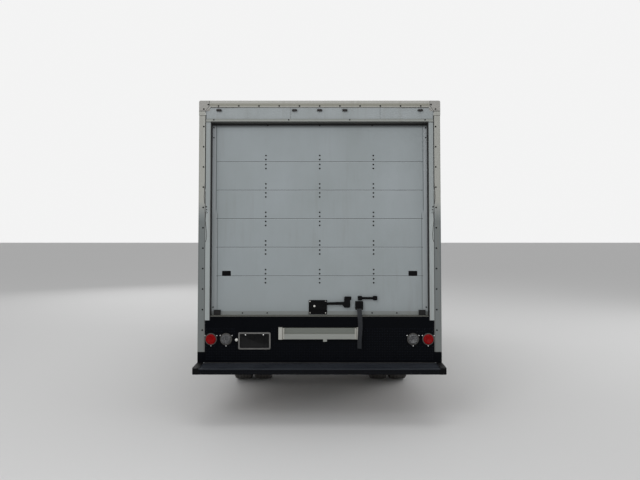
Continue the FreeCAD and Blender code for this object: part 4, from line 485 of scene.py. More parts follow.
finish = {
    # rear frame and door: their pale paint is painted about half as bright as the box sides' white, as painted
    # shade on the rear face; their patches are set in the same painted shade
    "rearFrame": makeFinish("rearFramePaintShaded", colour=(0.275, 0.303, 0.314), second=(0.25, 0.275, 0.28),
                            mottleScale=7.0, mottleRise=0.35, rough=0.5, runs=0.3, runDensity=34.0,
                            runColour=(0.14, 0.125, 0.1), rub=0.5, rubColour=(0.15, 0.12, 0.095), film=0.15,
                            filmTop=1.4, patches=framePatches),
    "door": makeFinish("doorPaintShaded", colour=(0.268, 0.3, 0.315), second=(0.245, 0.275, 0.282), mottleScale=2.4,
                       mottleRise=0.6, rough=0.42, specular=0.35, runs=0.14, runDensity=16.0, film=0.25,
                       filmTop=1.5, filmColour=(0.26, 0.28, 0.28), grain=0.05, grainScale=60.0,
                       patches=doorPatches),
    # painted highlight for the lit edges of the door's panels
    "doorEdgeHighlight": makeFinish("doorEdgeHighlightPaint", colour=(0.41, 0.45, 0.47), film=0.0),
    "box": makeFinish("boxPaint", colour=(0.58, 0.59, 0.58), second=(0.51, 0.52, 0.51), mottleScale=1.2,
                      rough=0.33, coat=0.25, runs=0.3, runDensity=22.0, film=0.4, filmTop=1.7, filmFade=1.0,
                      grain=0.03, grainScale=40.0),
    "roof": makeFinish("roofSheet", colour=(0.6, 0.61, 0.62), second=(0.48, 0.48, 0.47), mottleScale=1.6,
                       rough=0.5, metal=0.75, film=0.0, runs=0.2, grain=0.08, grainScale=30.0),
    "galvanised": makeFinish("galvanisedSteel", colour=(0.5, 0.51, 0.52), second=(0.36, 0.37, 0.38),
                             mottleScale=28.0, rough=0.45, metal=0.8, film=0.15, filmTop=3.0, filmFade=3.0),
    "sill": makeFinish("sillBlack", colour=(0.0008, 0.0012, 0.0022), second=(0.0015, 0.002, 0.0032),
                       mottleScale=6.0, mottleRise=0.4, rough=0.42, roughSpread=0.2, specular=0.03, rub=0.2,
                       rubColour=(0.03, 0.031, 0.034), film=0.02, filmTop=0.8, filmFade=0.5,
                       filmColour=(0.06, 0.06, 0.06), grain=0.12, grainScale=120.0, patches=sillPatches),
    "step": makeFinish("stepBlack", colour=(0.017, 0.02, 0.026), second=(0.029, 0.033, 0.04), mottleScale=5.0,
                       roughSpread=0.25, specular=0.06, rub=0.3, rubColour=(0.06, 0.064, 0.072), film=0.04,
                       filmTop=0.7, filmFade=0.4, filmColour=(0.06, 0.06, 0.06), grain=0.15, grainScale=90.0,
                       patches=stepPatches),
    "tread": makeFinish("treadPlateBlack", colour=(0.003, 0.0042, 0.0075), second=(0.006, 0.008, 0.014),
                        mottleScale=14.0, rough=0.34, roughSpread=0.2, specular=0.1, rub=0.4, rubRadius=0.002,
                        rubColour=(0.04, 0.047, 0.06), film=0.0),
    "latch": makeFinish("latchBlack", colour=(0.0015, 0.0015, 0.002), second=(0.0035, 0.0035, 0.004),
                        mottleScale=22.0, rough=0.45, specular=0.05, rub=0.3, rubRadius=0.002,
                        rubColour=(0.04, 0.04, 0.039), film=0.0),
    "bolt": makeFinish("boltDark", colour=(0.004, 0.004, 0.0045), second=(0.014, 0.012, 0.01),
                       mottleScale=60.0, rough=0.6, specular=0.1, film=0.0),
    "zinc": makeFinish("zincBolt", colour=(0.55, 0.55, 0.53), second=(0.38, 0.37, 0.34), mottleScale=80.0,
                       rough=0.38, metal=0.9, film=0.1),
    "ramp": makeFinish("rampAluminium", colour=(0.32, 0.315, 0.28), second=(0.26, 0.255, 0.225),
                       mottleScale=9.0, mottleRise=3.0, rough=0.45, metal=0.25, rub=0.2,
                       rubColour=(0.2, 0.17, 0.13), film=0.2, filmTop=0.9, grain=0.05, grainScale=200.0,
                       patches=rampPatches),
    "plate": makeFinish("plateBlank", colour=(0.003, 0.003, 0.0035), second=(0.006, 0.006, 0.0065),
                        mottleScale=12.0, rough=0.3, specular=0.08, film=0.0),
    "plateFrame": makeFinish("plateFrame", colour=(0.14, 0.137, 0.133), second=(0.09, 0.09, 0.087),
                             mottleScale=20.0, rough=0.35, metal=0.4, film=0.0),
    "chassis": makeFinish("chassisBlack", colour=(0.016, 0.016, 0.017), second=(0.03, 0.028, 0.026),
                          mottleScale=8.0, rough=0.55, rub=0.6, rubRadius=0.005, rubColour=(0.1, 0.05, 0.028),
                          film=0.55, filmTop=0.95, filmFade=0.7, filmColour=(0.16, 0.145, 0.125), grain=0.15,
                          grainScale=90.0),
    "iron": makeFinish("axleIron", colour=(0.03, 0.028, 0.026), second=(0.07, 0.05, 0.036), mottleScale=10.0,
                       rough=0.7, rub=0.4, rubColour=(0.16, 0.08, 0.045), film=0.6, filmTop=0.75, filmFade=0.6,
                       filmColour=(0.17, 0.15, 0.125), grain=0.5, grainScale=180.0),
    "engine": makeFinish("engineCasting", colour=(0.15, 0.15, 0.148), second=(0.08, 0.075, 0.07),
                         mottleScale=9.0, rough=0.65, metal=0.3, film=0.4, grain=0.5, grainScale=160.0),
    "exhaust": makeFinish("exhaustSteel", colour=(0.33, 0.29, 0.25), second=(0.17, 0.1, 0.06), mottleScale=7.0,
                          rough=0.5, metal=0.7, film=0.35, filmTop=0.9, grain=0.1),
    "tank": makeFinish("tankBlack", colour=(0.022, 0.022, 0.024), second=(0.038, 0.037, 0.036),
                       mottleScale=5.0, rub=0.5, rubColour=(0.1, 0.1, 0.1), film=0.45, filmTop=0.85,
                       filmFade=0.5),
    "plastic": makeFinish("grainedPlastic", colour=(0.02, 0.02, 0.021), second=(0.03, 0.03, 0.03),
                          mottleScale=6.0, rough=0.55, film=0.2, grain=0.5, grainScale=700.0),
    "cabFloor": makeFinish("cabFloorMat", colour=(0.03, 0.03, 0.031), second=(0.045, 0.043, 0.04),
                           mottleScale=8.0, rough=0.8, film=0.35, filmTop=1.1, grain=0.3, grainScale=260.0),
    "flap": makeFinish("flapRubber", colour=(0.016, 0.016, 0.016), second=(0.03, 0.029, 0.027),
                       mottleScale=6.0, rough=0.85, film=0.7, filmTop=0.7, filmFade=0.5, grain=0.2,
                       grainScale=220.0),
    "bumper": makeFinish("bumperPaint", colour=(0.62, 0.63, 0.62), second=(0.57, 0.575, 0.565),
                         mottleScale=2.0, rough=0.3, coat=0.5, rub=0.25, film=0.45, filmTop=0.75,
                         filmFade=0.4),
    "wood": makeFinish("deckWood", colour=(0.33, 0.21, 0.115), second=(0.2, 0.125, 0.07), mottleScale=14.0,
                       rough=0.65, filmTop=1.2, grain=0.3, grainScale=80.0),
    "cab": makeFinish("cabPaint", **cabPaint, lining=cabLining),
    "cabDoor": makeFinish("cabDoorPaint", **cabPaint, lining=doorLining),
    "lampBezel": makeFinish("lampBezel", second=(0.42, 0.42, 0.42), rough=0.18, metal=0.95, film=0.15,
                            roughSpread=0.05),
    "dash": makeFinish("dashPlastic", colour=(0.06, 0.06, 0.064), second=(0.075, 0.075, 0.08), rough=0.62,
                       film=0.12, filmTop=2.0, grain=0.45, grainScale=500.0),
    "rim": makeFinish("rimPaint", colour=(0.55, 0.55, 0.53), second=(0.46, 0.455, 0.43), mottleScale=9.0,
                      rough=0.42, rub=0.5, rubColour=(0.22, 0.13, 0.08), film=0.5, filmTop=0.8, filmFade=0.5),
    "tyre": makeFinish("tyreRubber", colour=(0.014, 0.014, 0.0145), second=(0.026, 0.0255, 0.025),
                       mottleScale=12.0, rough=0.82, film=0.45, filmTop=0.75, filmFade=0.6,
                       filmColour=(0.13, 0.12, 0.105), grain=0.25, grainScale=500.0),
    "mirrorFace": makeFinish("mirrorFace", colour=(0.8, 0.82, 0.82), second=(0.76, 0.78, 0.78), rough=0.05,
                             roughSpread=0.04, metal=1.0, film=0.06, filmTop=2.4),
    "boltStainless": makeFinish("boltStainless", colour=(0.6, 0.6, 0.6), second=(0.5, 0.5, 0.5),
                                mottleScale=60.0, rough=0.3, metal=1.0, film=0.0),
    "seal": makeFinish("sealRubber", colour=(0.012, 0.012, 0.012), second=(0.02, 0.02, 0.02), rough=0.7,
                       film=0.2, filmTop=2.2, filmFade=1.4),
    "whiteCap": makeFinish("whitePlastic", colour=(0.7, 0.7, 0.67), second=(0.58, 0.575, 0.54),
                           mottleScale=30.0, film=0.15),
    "window": makeGlass("windowGlass", (0.4, 0.49, 0.47), 0.22),
    "headGlass": makeGlass("headlampGlass", (0.85, 0.88, 0.9), 0.28),
    "lensRed": makeLens("lensRed", (0.3, 0.0006, 0.0015), (0.16, 0.0003, 0.001), 130.0, 0.02, 0.06),
    "lensClear": makeLens("lensClear", (0.12, 0.125, 0.13), (0.025, 0.025, 0.028), 110.0),
    "lensDark": makeLens("lensDarkRed", (0.006, 0.001, 0.001), (0.002, 0.0005, 0.0005), 160.0, coat=0.0),
    "lensAmber": makeLens("lensAmber", (0.6, 0.2, 0.01), (0.36, 0.1, 0.004), 150.0),
    "webbing": makeCloth("webbing", (0.013, 0.0155, 0.02), (0.007, 0.008, 0.01), 0.0045, 0.025),
    "seatCloth": makeCloth("seatCloth", (0.055, 0.057, 0.064), (0.035, 0.036, 0.04), 0.006, 0.35),
}

nodeFinish = {
    "ladder_frame": "chassis", "front_axle": "iron", "rear_axle": "iron", "tie_rod": "iron",
    "powertrain": "engine", "exhaust": "exhaust", "fuel_tank": "tank", "battery_box": "plastic",
    "mud_flaps": "flap", "front_bumper": "bumper", "box_floor": "wood", "box_side_walls": "box",
    "box_front_wall": "box", "box_roof": "roof", "rear_frame": "rearFrame", "rollup_door": "door",
    "door_tracks": "galvanised", "door_latch": "latch", "rear_sill": "sill", "step_bumper": "step",
    "body_lamps": "seal", "licence_plate": "plateFrame", "ramp": "ramp", "cab_shell": "cab",
    "cab_floor": "cabFloor", "cab_glass": "window", "grille": "plastic", "headlamps": "lampBezel",
    "dashboard": "dash", "steering_wheel": "plastic",
}
for side, _ in sides:
    nodeFinish.update({
        f"cab_door_{side}": "cabDoor", f"door_glass_{side}": "window", f"mirror_{side}": "plastic",
        f"wheel_front_{side}": "rim", f"wheels_rear_{side}": "rim", f"knuckle_{side}": "iron",
    })
for nodeName, finishName in nodeFinish.items():
    for slotOfNode in nodes[nodeName].material_slots:
        slotOfNode.material = finish[finishName]
print("finishes made:", len(finish))


# Mesh helpers

def addPiece(name, bm, look, body, flatAngle=35):
    bmesh.ops.recalc_face_normals(bm, faces=bm.faces)
    mesh = bpy.data.meshes.new(name)
    bm.to_mesh(mesh)
    bm.free()
    mesh.shade_smooth()
    mesh.set_sharp_from_angle(angle=math.radians(flatAngle))
    mesh.materials.append(finish[look])
    piece = bpy.data.objects.new(name, mesh)
    scene.collection.objects.link(piece)
    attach(piece, body)
    return piece


def turned(steps):
    return [2 * math.pi * i / steps for i in range(steps)]


def lathe(bm, origin, axis, profile, steps):
    # profile is (along, radius) pairs; a radius of 0 closes the end on a point
    origin, axis = Vector(origin), Vector(axis).normalized()
    u = axis.orthogonal().normalized()
    v = axis.cross(u)
    rings = []
    for along, radius in profile:
        angles = turned(steps) if radius > 0 else [0.0]
        rings.append([bm.verts.new(origin + axis * along + (u * math.cos(a) + v * math.sin(a)) * radius)
                      for a in angles])
    for first, second in zip(rings, rings[1:]):
        for i in range(steps):
            j = (i + 1) % steps
            corners = [first[i % len(first)], first[j % len(first)], second[j % len(second)],
                       second[i % len(second)]]
            kept = list(dict.fromkeys(corners))
            if len(kept) > 2:
                bm.faces.new(kept)


def skin(bm, rings, closed=False):
    # quads between rings of as many points; a row of rings that doesn't close is capped at its ends
    pairs = list(zip(rings, rings[1:])) + ([(rings[-1], rings[0])] if closed else [])
    size = len(rings[0])
    for first, second in pairs:
        for i in range(size):
            j = (i + 1) % size
            bm.faces.new([first[i], first[j], second[j], second[i]])
    if not closed:
        bm.faces.new(rings[0][::-1])
        bm.faces.new(rings[-1])


def turnedPiece(name, spots, profile, steps, look, body):
    # one piece of like turned forms, each at a (place, axis)
    bm = bmesh.new()
    for place, axis in spots:
        lathe(bm, place, axis, profile, steps)
    return addPiece(name, bm, look, body)


def domedBolt(bm, place, axis, radius, height):
    lathe(bm, place, axis, [(-0.001, 0), (-0.001, radius), (height * 0.45, radius),
                            (height * 0.85, radius * 0.75), (height, radius * 0.3), (height, 0)], 10)


def hexBolt(bm, place, axis, radius, height):
    washer = radius * 1.25
    lathe(bm, place, axis, [(-0.001, 0), (-0.001, washer), (height * 0.18, washer)], 18)
    lathe(bm, place, axis, [(0, 0), (0, radius), (height * 0.85, radius), (height, radius * 0.8),
                            (height, 0)], 6)


def boltRow(name, places, radius, height, look, make=domedBolt):
    # bolts that face rearward on the body
    bm = bmesh.new()
    for place in places:
        make(bm, place, rearward, radius, height)
    return addPiece(name, bm, look, "root")


def roundedBlock(bm, least, most, radius, segments=1):
    made = bmesh.ops.create_cube(bm, size=1.0)["verts"]
    least, most = Vector(least), Vector(most)
    for vert in made:
        vert.co = (least + most) / 2 + Vector(vert.co[i] * (most[i] - least[i]) for i in range(3))
    edges = {edge for vert in made for edge in vert.link_edges}
    bmesh.ops.bevel(bm, geom=list(edges), offset=radius, segments=segments, profile=0.6, affect="EDGES")


def mirroredBlocks(bm, across, depth, rise, radius):
    # the same thin block on the truck's left and right
    for _, side in sides:
        x0, x1 = sorted(side * x for x in across)
        roundedBlock(bm, (x0, depth[0], rise[0]), (x1, depth[1], rise[1]), radius)


def sweep(bm, points, section, closed=False, upward=(0, 0, 1)):
    # section is (u, v) pairs, u across and v toward upward, which may differ from point to point
    points = [Vector(p) for p in points]
    count = len(points)
    rings = []
    for i, here in enumerate(points):
        before = points[i - 1] if (closed or i > 0) else here
        after = points[(i + 1) % count] if (closed or i < count - 1) else here
        along = (after - before).normalized()
        lift = Vector(upward[i] if isinstance(upward, list) else upward)
        across = along.cross(lift).normalized()
        lift = across.cross(along).normalized()
        rings.append([bm.verts.new(here + across * u + lift * v) for u, v in section])
    skin(bm, rings, closed)


def oval(radius, steps, squash):
    return [(radius * math.cos(a), radius * math.sin(a) * squash) for a in turned(steps)]


def roundedPath(corners, steps=6):
    # (u, v, radius) corners to a closed line of points
    line = []
    count = len(corners)
    for i, (u, v, radius) in enumerate(corners):
        here = Vector((u, v))
        back = (Vector(corners[i - 1][:2]) - here).normalized()
        ahead = (Vector(corners[(i + 1) % count][:2]) - here).normalized()
        half = back.angle(ahead) / 2
        reach = radius / math.tan(half)
        centre = here + (back + ahead).normalized() * radius / math.sin(half)
        start, end = here + back * reach - centre, here + ahead * reach - centre
        line += [centre + start.lerp(end, k / steps).normalized() * radius for k in range(steps + 1)]
    return line


def surfaceAt(node, origin, direction):
    # where a ray meets a node, with its normal
    hit, place, normal, _ = nodes[node].ray_cast(Vector(origin), Vector(direction))
    return (place, normal) if hit else (None, None)


print("mesh helpers ready")


# Pull strap, a hanging length of flat webbing

strap = {
    "across": 0.399, "width": 0.046, "thickness": 0.003,
    # (out, up, aside) from the rear face and the floor's edge
    "route": ((0.0627, 0.064, 0), (0.025, 0.061, 0), (-0.006, 0.04, 0.0), (-0.022, 0.003, 0.001),
              (-0.031, -0.042, 0.004), (-0.036, -0.095, 0.006), (-0.038, -0.15, 0.004),
              (-0.037, -0.206, -0.001), (-0.034, -0.262, -0.004), (-0.03, -0.317, -0.003)),
    "twist": 32,                                 # degrees, near the free end
    "twistFrom": 0.35,                           # the part of the length that stays flat
    "perSpan": 6,
}


def routeLine(points, perSpan):
    curve = bpy.data.curves.new("strapRoute", "CURVE")
    curve.dimensions = "3D"
    spline = curve.splines.new("NURBS")
    spline.points.add(len(points) - 1)
    for point, place in zip(spline.points, points):
        point.co = (*place, 1.0)
    spline.order_u = 3
    spline.use_endpoint_u = True
    spline.resolution_u = perSpan
    holder = bpy.data.objects.new("strapRoute", curve)
    scene.collection.objects.link(holder)
    line = bpy.data.meshes.new_from_object(holder)
    found = [vert.co.copy() for vert in line.vertices]
    bpy.data.objects.remove(holder)
    bpy.data.meshes.remove(line)
    bpy.data.curves.remove(curve)
    return found


def makeStrap(spec):
    route = [Vector((spec["across"] + aside, rearFace + out, floorTop + up))
             for out, up, aside in spec["route"]]
    line = routeLine(route, spec["perSpan"])
    wide, thick = spec["width"] / 2, spec["thickness"] / 2
    section = [(-wide, -thick * 0.4), (-wide * 0.94, -thick), (wide * 0.94, -thick), (wide, -thick * 0.4),
               (wide, thick * 0.4), (wide * 0.94, thick), (-wide * 0.94, thick), (-wide, thick * 0.4)]
    last = len(line) - 1
    lifts = []
    for i in range(len(line)):
        along = (line[min(i + 1, last)] - line[max(i - 1, 0)]).normalized()
        share = max(0.0, i / last - spec["twistFrom"]) / (1 - spec["twistFrom"])
        lift = along.cross(Vector((1, 0, 0))).normalized()
        lift.rotate(Quaternion(along, math.radians(spec["twist"]) * math.sin(share * math.pi * 0.62)))
        lifts.append(tuple(lift))
    bm = bmesh.new()
    sweep(bm, line, section, upward=lifts)
    piece = addPiece("pullStrap", bm, "webbing", "root")
    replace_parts(piece, "pull_strap")
    total = sum((b - a).length for a, b in zip(line, line[1:]))
    print("strap length", round(total, 3))
    tuple(line[0])
    [tuple(p) for p in line]


makeStrap(strap)


# Roll-up door: hinge bolts, roller and rail screws, light strips painted as highlight on the panels' edges, and
# black sheets painted as shade in the grips

doorSpec = {
    "joints": [floorTop + 0.394 + 0.29 * i for i in range(5)],
    "columns": (-0.549, 0.0, 0.547),
    "offsets": (-0.071, -0.0305, 0.0205, 0.0615),    # of the bolts from each joint
    "hingeBolt": 0.0085,
    "stripScrews": [(side * 1.081, z) for side in (-1, 1) for z in (2.9, 2.797)]
                   + [(-1.078, 1.078), (1.078, 1.078)],
    "topScrews": ((-0.53, 2.925), (0.0, 2.925), (0.538, 2.925)),
    "railScrews": (-0.78, -0.53, 0.53, 0.78),
    "edgeHalf": 1.033,
    "grips": (0.905, 0.985),
}


def makeDoorDetails(spec):
    joints = spec["joints"]
    places = [(x, doorFace, z + dz) for z in joints for x in spec["columns"] for dz in spec["offsets"]]
    places += [(x, doorFace, z) for x, z in spec["topScrews"]]
    boltRow("doorHingeBolts", places, spec["hingeBolt"], 0.0045, "bolt")
    y = doorFace - 0.005
    places = [(x, y, z) for x, z in spec["stripScrews"]]
    places += [(x, y, floorTop + 0.02) for x in spec["railScrews"]]
    boltRow("doorStripScrews", places, 0.0075, 0.004, "bolt")
    # a light strip under each joint: painted highlight along the panels' edges
    bm = bmesh.new()
    for z in joints:
        roundedBlock(bm, (-spec["edgeHalf"], doorFace - 0.0005, z - 0.0078),
                     (spec["edgeHalf"], doorFace + 0.001, z - 0.0042), 0.0003)
    addPiece("doorPanelEdgeHighlights", bm, "doorEdgeHighlight", "root")
    # black sheets in the finger grips: painted shade of the recesses
    bm = bmesh.new()
    mirroredBlocks(bm, spec["grips"], (doorFace + 0.0145, doorFace + 0.0165),
                   (joints[0] + 0.002, joints[0] + 0.044), 0.0008)
    addPiece("gripShadeSheets", bm, "latch", "root")


makeDoorDetails(doorSpec)


# Rear frame: screws down the posts and along the rails

frameSpec = {
    "postX": 1.17, "postTop": 2.9, "postStep": 0.204, "postCount": 11,
    "railZ": bodyTop - 0.054, "railStep": 0.2045, "railCount": 5,      # to each side of the middle
    "castingScrews": ((1.126, -0.04), (1.171, -0.086)),
    "trimScrews": (-1.068, -0.312, 0.304, 1.064), "trimZ": doorTop + 0.022,
    "headerSeams": (-0.292, 0.611), "headerZ": (2.98, 3.096),
}


def makeFrameFastenings(spec):
    places = [(side * spec["postX"], rearFace, spec["postTop"] - spec["postStep"] * i)
              for i in range(spec["postCount"]) for _, side in sides]
    places += [(i * spec["railStep"], rearFace, spec["railZ"])
               for i in range(-spec["railCount"], spec["railCount"] + 1)]
    places += [(side * x, rearFace - 0.002, bodyTop + drop)
               for x, drop in spec["castingScrews"] for _, side in sides]
    boltRow("frameScrews", places, 0.0085, 0.004, "bolt")
    places = [(x, rearFace - 0.004, spec["trimZ"]) for x in spec["trimScrews"]]
    boltRow("headerTrimScrews", places, 0.007, 0.004, "bolt")
    bm = bmesh.new()
    z0, z1 = spec["headerZ"]
    for x in spec["headerSeams"]:
        roundedBlock(bm, (x - 0.0008, rearFace + 0.0045, z0), (x + 0.0008, rearFace + 0.0075, z1), 0.0004)
    addPiece("headerSeams", bm, "seal", "root")


makeFrameFastenings(frameSpec)


# Rear frame: dark strips painted as shade round the corner castings, under the top rail and down the posts'
# seam, the torn bead between the posts, and the thin flange on the inner posts

# dark strips standing in for shade: in the gaps round the corner castings, under the top rail, down the posts'
# seam and under the header trim
seamSpec = {
    # (x, z below the top, how far in front of the rear face) from end to end, then half the width
    "castingSide": (((1.1136, 0.003, 0.002), (1.1136, 0.05, 0.002)), 0.002),
    "castingCorner": (((1.1136, 0.05, 0.002), (1.149, 0.1, 0.002)), 0.0022),
    "castingFoot": (((1.149, 0.106, 0.002), (1.2185, 0.106, 0.002)), 0.0028),
    "postSeam": (((1.1505, 0.1, 0.002), (1.1505, 0.112, 0.002), (1.1505, 0.14, -0.001), (1.1505, 0.19, 0.0),
                  (1.1505, 0.225, 0.004)), 0.0034),
    "railSeam": (((1.112, 0.0695, -0.002), (0.83, 0.0695, -0.002)), 0.0032),
    "railSeamThin": (((0.83, 0.069, -0.003), (0.0, 0.069, -0.003)), 0.0016),
    "postTopSeam": (((1.099, 0.219, 0.007), (1.149, 0.219, 0.007)), 0.0028),
}
tornBead = {
    "routes": (((1.151, 2.42), (1.1525, 2.33), (1.158, 2.25), (1.161, 2.19), (1.157, 2.14), (1.153, 2.12)),
               ((1.1375, 2.05), (1.1445, 2.01), (1.146, 1.95), (1.1385, 1.88), (1.133, 1.82), (1.1355, 1.765),
                (1.146, 1.735))),
    "marks": ((1.138, 2.09, 0.009), (1.135, 2.062, 0.007), (1.149, 2.035, 0.006), (1.128, 2.03, 0.005)),
    "half": 0.0028,
    "innerPostEdge": 1.147,                      # the inner post stands proud on this side
}
flangeSpec = {"across": (1.136, 1.1455), "rise": (floorTop - 0.042, doorTop)}


def makeFrameSeams(spec, torn, flange):
    bm = bmesh.new()
    mirroredBlocks(bm, flange["across"], (rearFace - 0.0062, rearFace - 0.0042), flange["rise"], 0.0005)
    addPiece("innerPostFlanges", bm, "rearFrame", "root")
    bm = bmesh.new()
    # dark strips along the seams are painted shade; the torn bead and its marks after them are a real tear
    for route, half in spec.values():
        for _, side in sides:
            points = [(side * x, rearFace - out, bodyTop - drop) for x, drop, out in route]
            sweep(bm, points, oval(half, 6, 0.4), upward=rearward)
    edge = torn["innerPostEdge"]
    for route in torn["routes"]:
        for _, side in sides:
            points = [(side * x, rearFace - (0.006 if x < edge else 0.001), z) for x, z in route]
            sweep(bm, points, oval(torn["half"], 6, 0.5), upward=rearward)
    for x, z, radius in torn["marks"]:
        for _, side in sides:
            place = (side * x, rearFace - (0.006 if x < edge else 0.0), z)
            lathe(bm, place, rearward, [(0.0, radius), (0.0012, radius * 0.8), (0.0012, 0)], 9)
    addPiece("frameSeamShadeAndTornBead", bm, "seal", "root")


makeFrameSeams(seamSpec, tornBead, flangeSpec)


# Tread plate: raised lugs in alternate directions on the riser and the bumper's lip

treadSpec = {
    "pitch": 0.025, "lipPitch": 0.022, "length": 0.021, "width": 0.0065, "height": 0.002,
    "riserHalf": 1.13, "lipHalf": 1.14, "sealHalf": 1.15,
    "lampClear": 0.078,                          # bare round each lamp
    "bare": ((-0.43, 0.43, 0.725, 2.0), (-0.83, -0.475, 0.655, 2.0), (-0.87, -0.8, 0.72, 0.8)),
}


def treadLug(bm, centre, angle, spec):
    across, up, out = Vector((1, 0, 0)), Vector((0, 0, 1)), Vector(rearward)
    along = across * math.cos(angle) + up * math.sin(angle)
    aside = up * math.cos(angle) - across * math.sin(angle)
    half, wide = spec["length"] / 2, spec["width"] / 2
    shoulder = half * 0.45
    rim = [along * half, along * shoulder + aside * wide, along * -shoulder + aside * wide, along * -half,
           along * -shoulder - aside * wide, along * shoulder - aside * wide]
    base = [bm.verts.new(centre + r - out * 0.0006) for r in rim]
    ahead, behind = (bm.verts.new(centre + along * half * k + out * spec["height"]) for k in (0.5, -0.5))
    tops = ([ahead], [behind, ahead], [behind], [behind], [ahead, behind], [ahead])
    for i, top in enumerate(tops):
        bm.faces.new([base[i], base[(i + 1) % 6], *top])


def treadField(least, most, y, clear, pitch, spec):
    # lugs on an upright face, at (x, z) from least to most wherever clear says so
    columns, rows = (int((b - a) / pitch) for a, b in zip(least, most))
    margins = [(b - a - n * pitch) / 2 for a, b, n in zip(least, most, (columns, rows))]
    bm = bmesh.new()
    for i in range(columns + 1):
        for j in range(rows + 1):
            x, z = least[0] + margins[0] + i * pitch, least[1] + margins[1] + j * pitch
            if clear(x, z):
                angle = math.radians(45 if (i + j) % 2 else -45)
                treadLug(bm, Vector((x, y, z)), angle, spec)
    return bm


def makeTreadPlates(spec):
    def clearOfLamps(x, z):
        return all(math.hypot(abs(x) - lampX, z - lampHeight) > spec["lampClear"]
                   for lampX in (stopLampX, reverseLampX))

    def clearOnRiser(x, z):
        covered = any(x0 < x < x1 and z0 < z < z1 for x0, x1, z0, z1 in spec["bare"])
        return not covered and clearOfLamps(x, z)

    bm = treadField((-spec["riserHalf"], bumperTop + 0.03), (spec["riserHalf"], floorTop - 0.121),
                    rearFace, clearOnRiser, spec["pitch"], spec)
    addPiece("riserTread", bm, "tread", "root", flatAngle=20)
    bm = treadField((-spec["lipHalf"], bumperTop - 0.046), (spec["lipHalf"], bumperTop - 0.008),
                    stepBack + 0.003, lambda x, z: True, spec["lipPitch"], spec)
    addPiece("lipTread", bm, "tread", "root", flatAngle=20)
    bm = bmesh.new()
    roundedBlock(bm, (-spec["sealHalf"], rearFace + 0.001, bumperTop - 0.008),
                 (spec["sealHalf"], rearFace + 0.004, bumperTop + 0.0038), 0.0008)
    addPiece("stepSeal", bm, "seal", "root")


makeTreadPlates(treadSpec)
print("rear panel fastenings and tread plate made")


# Lamps on the body

lampSpec = {
    "radius": 0.05, "depth": 0.011, "ribs": 7, "screwCircle": 0.068, "screwAngles": (30, 150, 270),
    "markerX": (0.0, 0.254, -0.254, 1.017, -1.017), "markerDrop": 0.099, "markerHalf": (0.024, 0.01015, 0.006),
    "plateLight": (-0.828, 0.764), "plateLightRadius": 0.0155,
}


def lensProfile(radius, depth, ribs):
    rings = [(0.0, radius), (depth * 0.55, radius * 0.99)]
    for k in range(1, ribs):
        r = radius * (1 - k / ribs)
        crown = depth * (0.62 + 0.38 * math.sqrt(max(0.0, 1 - (r / radius) ** 2)))
        rings += [(crown, r + radius * 0.035), (crown - depth * 0.06, r)]
    return rings + [(depth, 0)]


def ovalLens(bm, centre, out, half):
    # half is (width, height, depth) of a domed lens
    wide, tall, depth = half
    centre, out = Vector(centre), Vector(out)
    rings = []
    for scale, rise in ((1.0, 0.0), (1.0, 0.35), (0.86, 0.72), (0.6, 0.93), (0.28, 1.0)):
        rings.append([bm.verts.new(centre + out * depth * rise
                                   + Vector((math.cos(a) * wide * scale, 0, math.sin(a) * tall * scale)))
                      for a in turned(24)])
    skin(bm, rings)


def makeBodyLamps(spec):
    back = low("body_lamps").y + 0.001
    profile = lensProfile(spec["radius"], spec["depth"], spec["ribs"])
    for label, x, look in (("stopLenses", stopLampX, "lensRed"), ("reverseLenses", reverseLampX, "lensClear")):
        spots = [((side * x, rearFace - 0.0115, lampHeight), rearward) for _, side in sides]
        turnedPiece(label, spots, profile, 40, look, "root")
        screws = [(side * x + spec["screwCircle"] * math.cos(math.radians(a)), rearFace,
                   lampHeight + spec["screwCircle"] * math.sin(math.radians(a)))
                  for _, side in sides for a in spec["screwAngles"]]
        boltRow(label + "Screws", screws, 0.0055, 0.004, "boltStainless")
    markerZ = bodyTop - spec["markerDrop"]
    for name, y, out, look in (("rearMarkerLenses", back, rearward, "lensDark"),
                               ("frontMarkerLenses", bodyFront + 0.019, (0, 1, 0), "lensAmber")):
        bm = bmesh.new()
        for x in spec["markerX"]:
            ovalLens(bm, (x, y, markerZ), out, spec["markerHalf"])
        addPiece(name, bm, look, "root")
    x, z = spec["plateLight"]
    r = spec["plateLightRadius"]
    turnedPiece("plateLight", [((x, rearFace, z), rearward)],
                [(0, 0), (0, r), (0.006, r), (0.012, r * 0.86), (0.016, r * 0.5), (0.0165, 0)],
                24, "whiteCap", "root")


makeBodyLamps(lampSpec)


# Licence plate: a bare sheet in the frame, on two bolts

plateSpec = {
    "x": -0.649, "z": floorTop - 0.245, "half": (0.148, 0.07175), "corner": 0.012, "bolt": 0.089,
    "boltRise": 0.059,
    "steps": ((0.0, 0.0), (0.0, 0.001), (0.004, 0.0022), (0.009, 0.0022), (0.012, 0.0014)),   # (inset, rise)
}


def roundedRings(bm, centre, half, corner, steps, place):
    # rings of one rounded oblong, each drawn in and raised; place gives (u, v, rise) its point in space
    rings = []
    for inset, rise in steps:
        corners = [(centre[0] + sx * (half[0] - inset), centre[1] + sz * (half[1] - inset), corner)
                   for sx, sz in ((-1, -1), (1, -1), (1, 1), (-1, 1))]
        rings.append([bm.verts.new(place(p.x, p.y, rise)) for p in roundedPath(corners)])
    skin(bm, rings)


def makePlate(spec):
    y = rearFace - 0.0033
    bm = bmesh.new()
    roundedRings(bm, (spec["x"], spec["z"]), spec["half"], spec["corner"], spec["steps"],
                 lambda u, v, rise: (u, y - rise, v))
    addPiece("plateSheet", bm, "plate", "root")
    places = [(spec["x"] + side * spec["bolt"], y - 0.001, spec["z"] + spec["boltRise"]) for _, side in sides]
    boltRow("plateBolts", places, 0.0065, 0.005, "boltStainless", make=hexBolt)


makePlate(plateSpec)


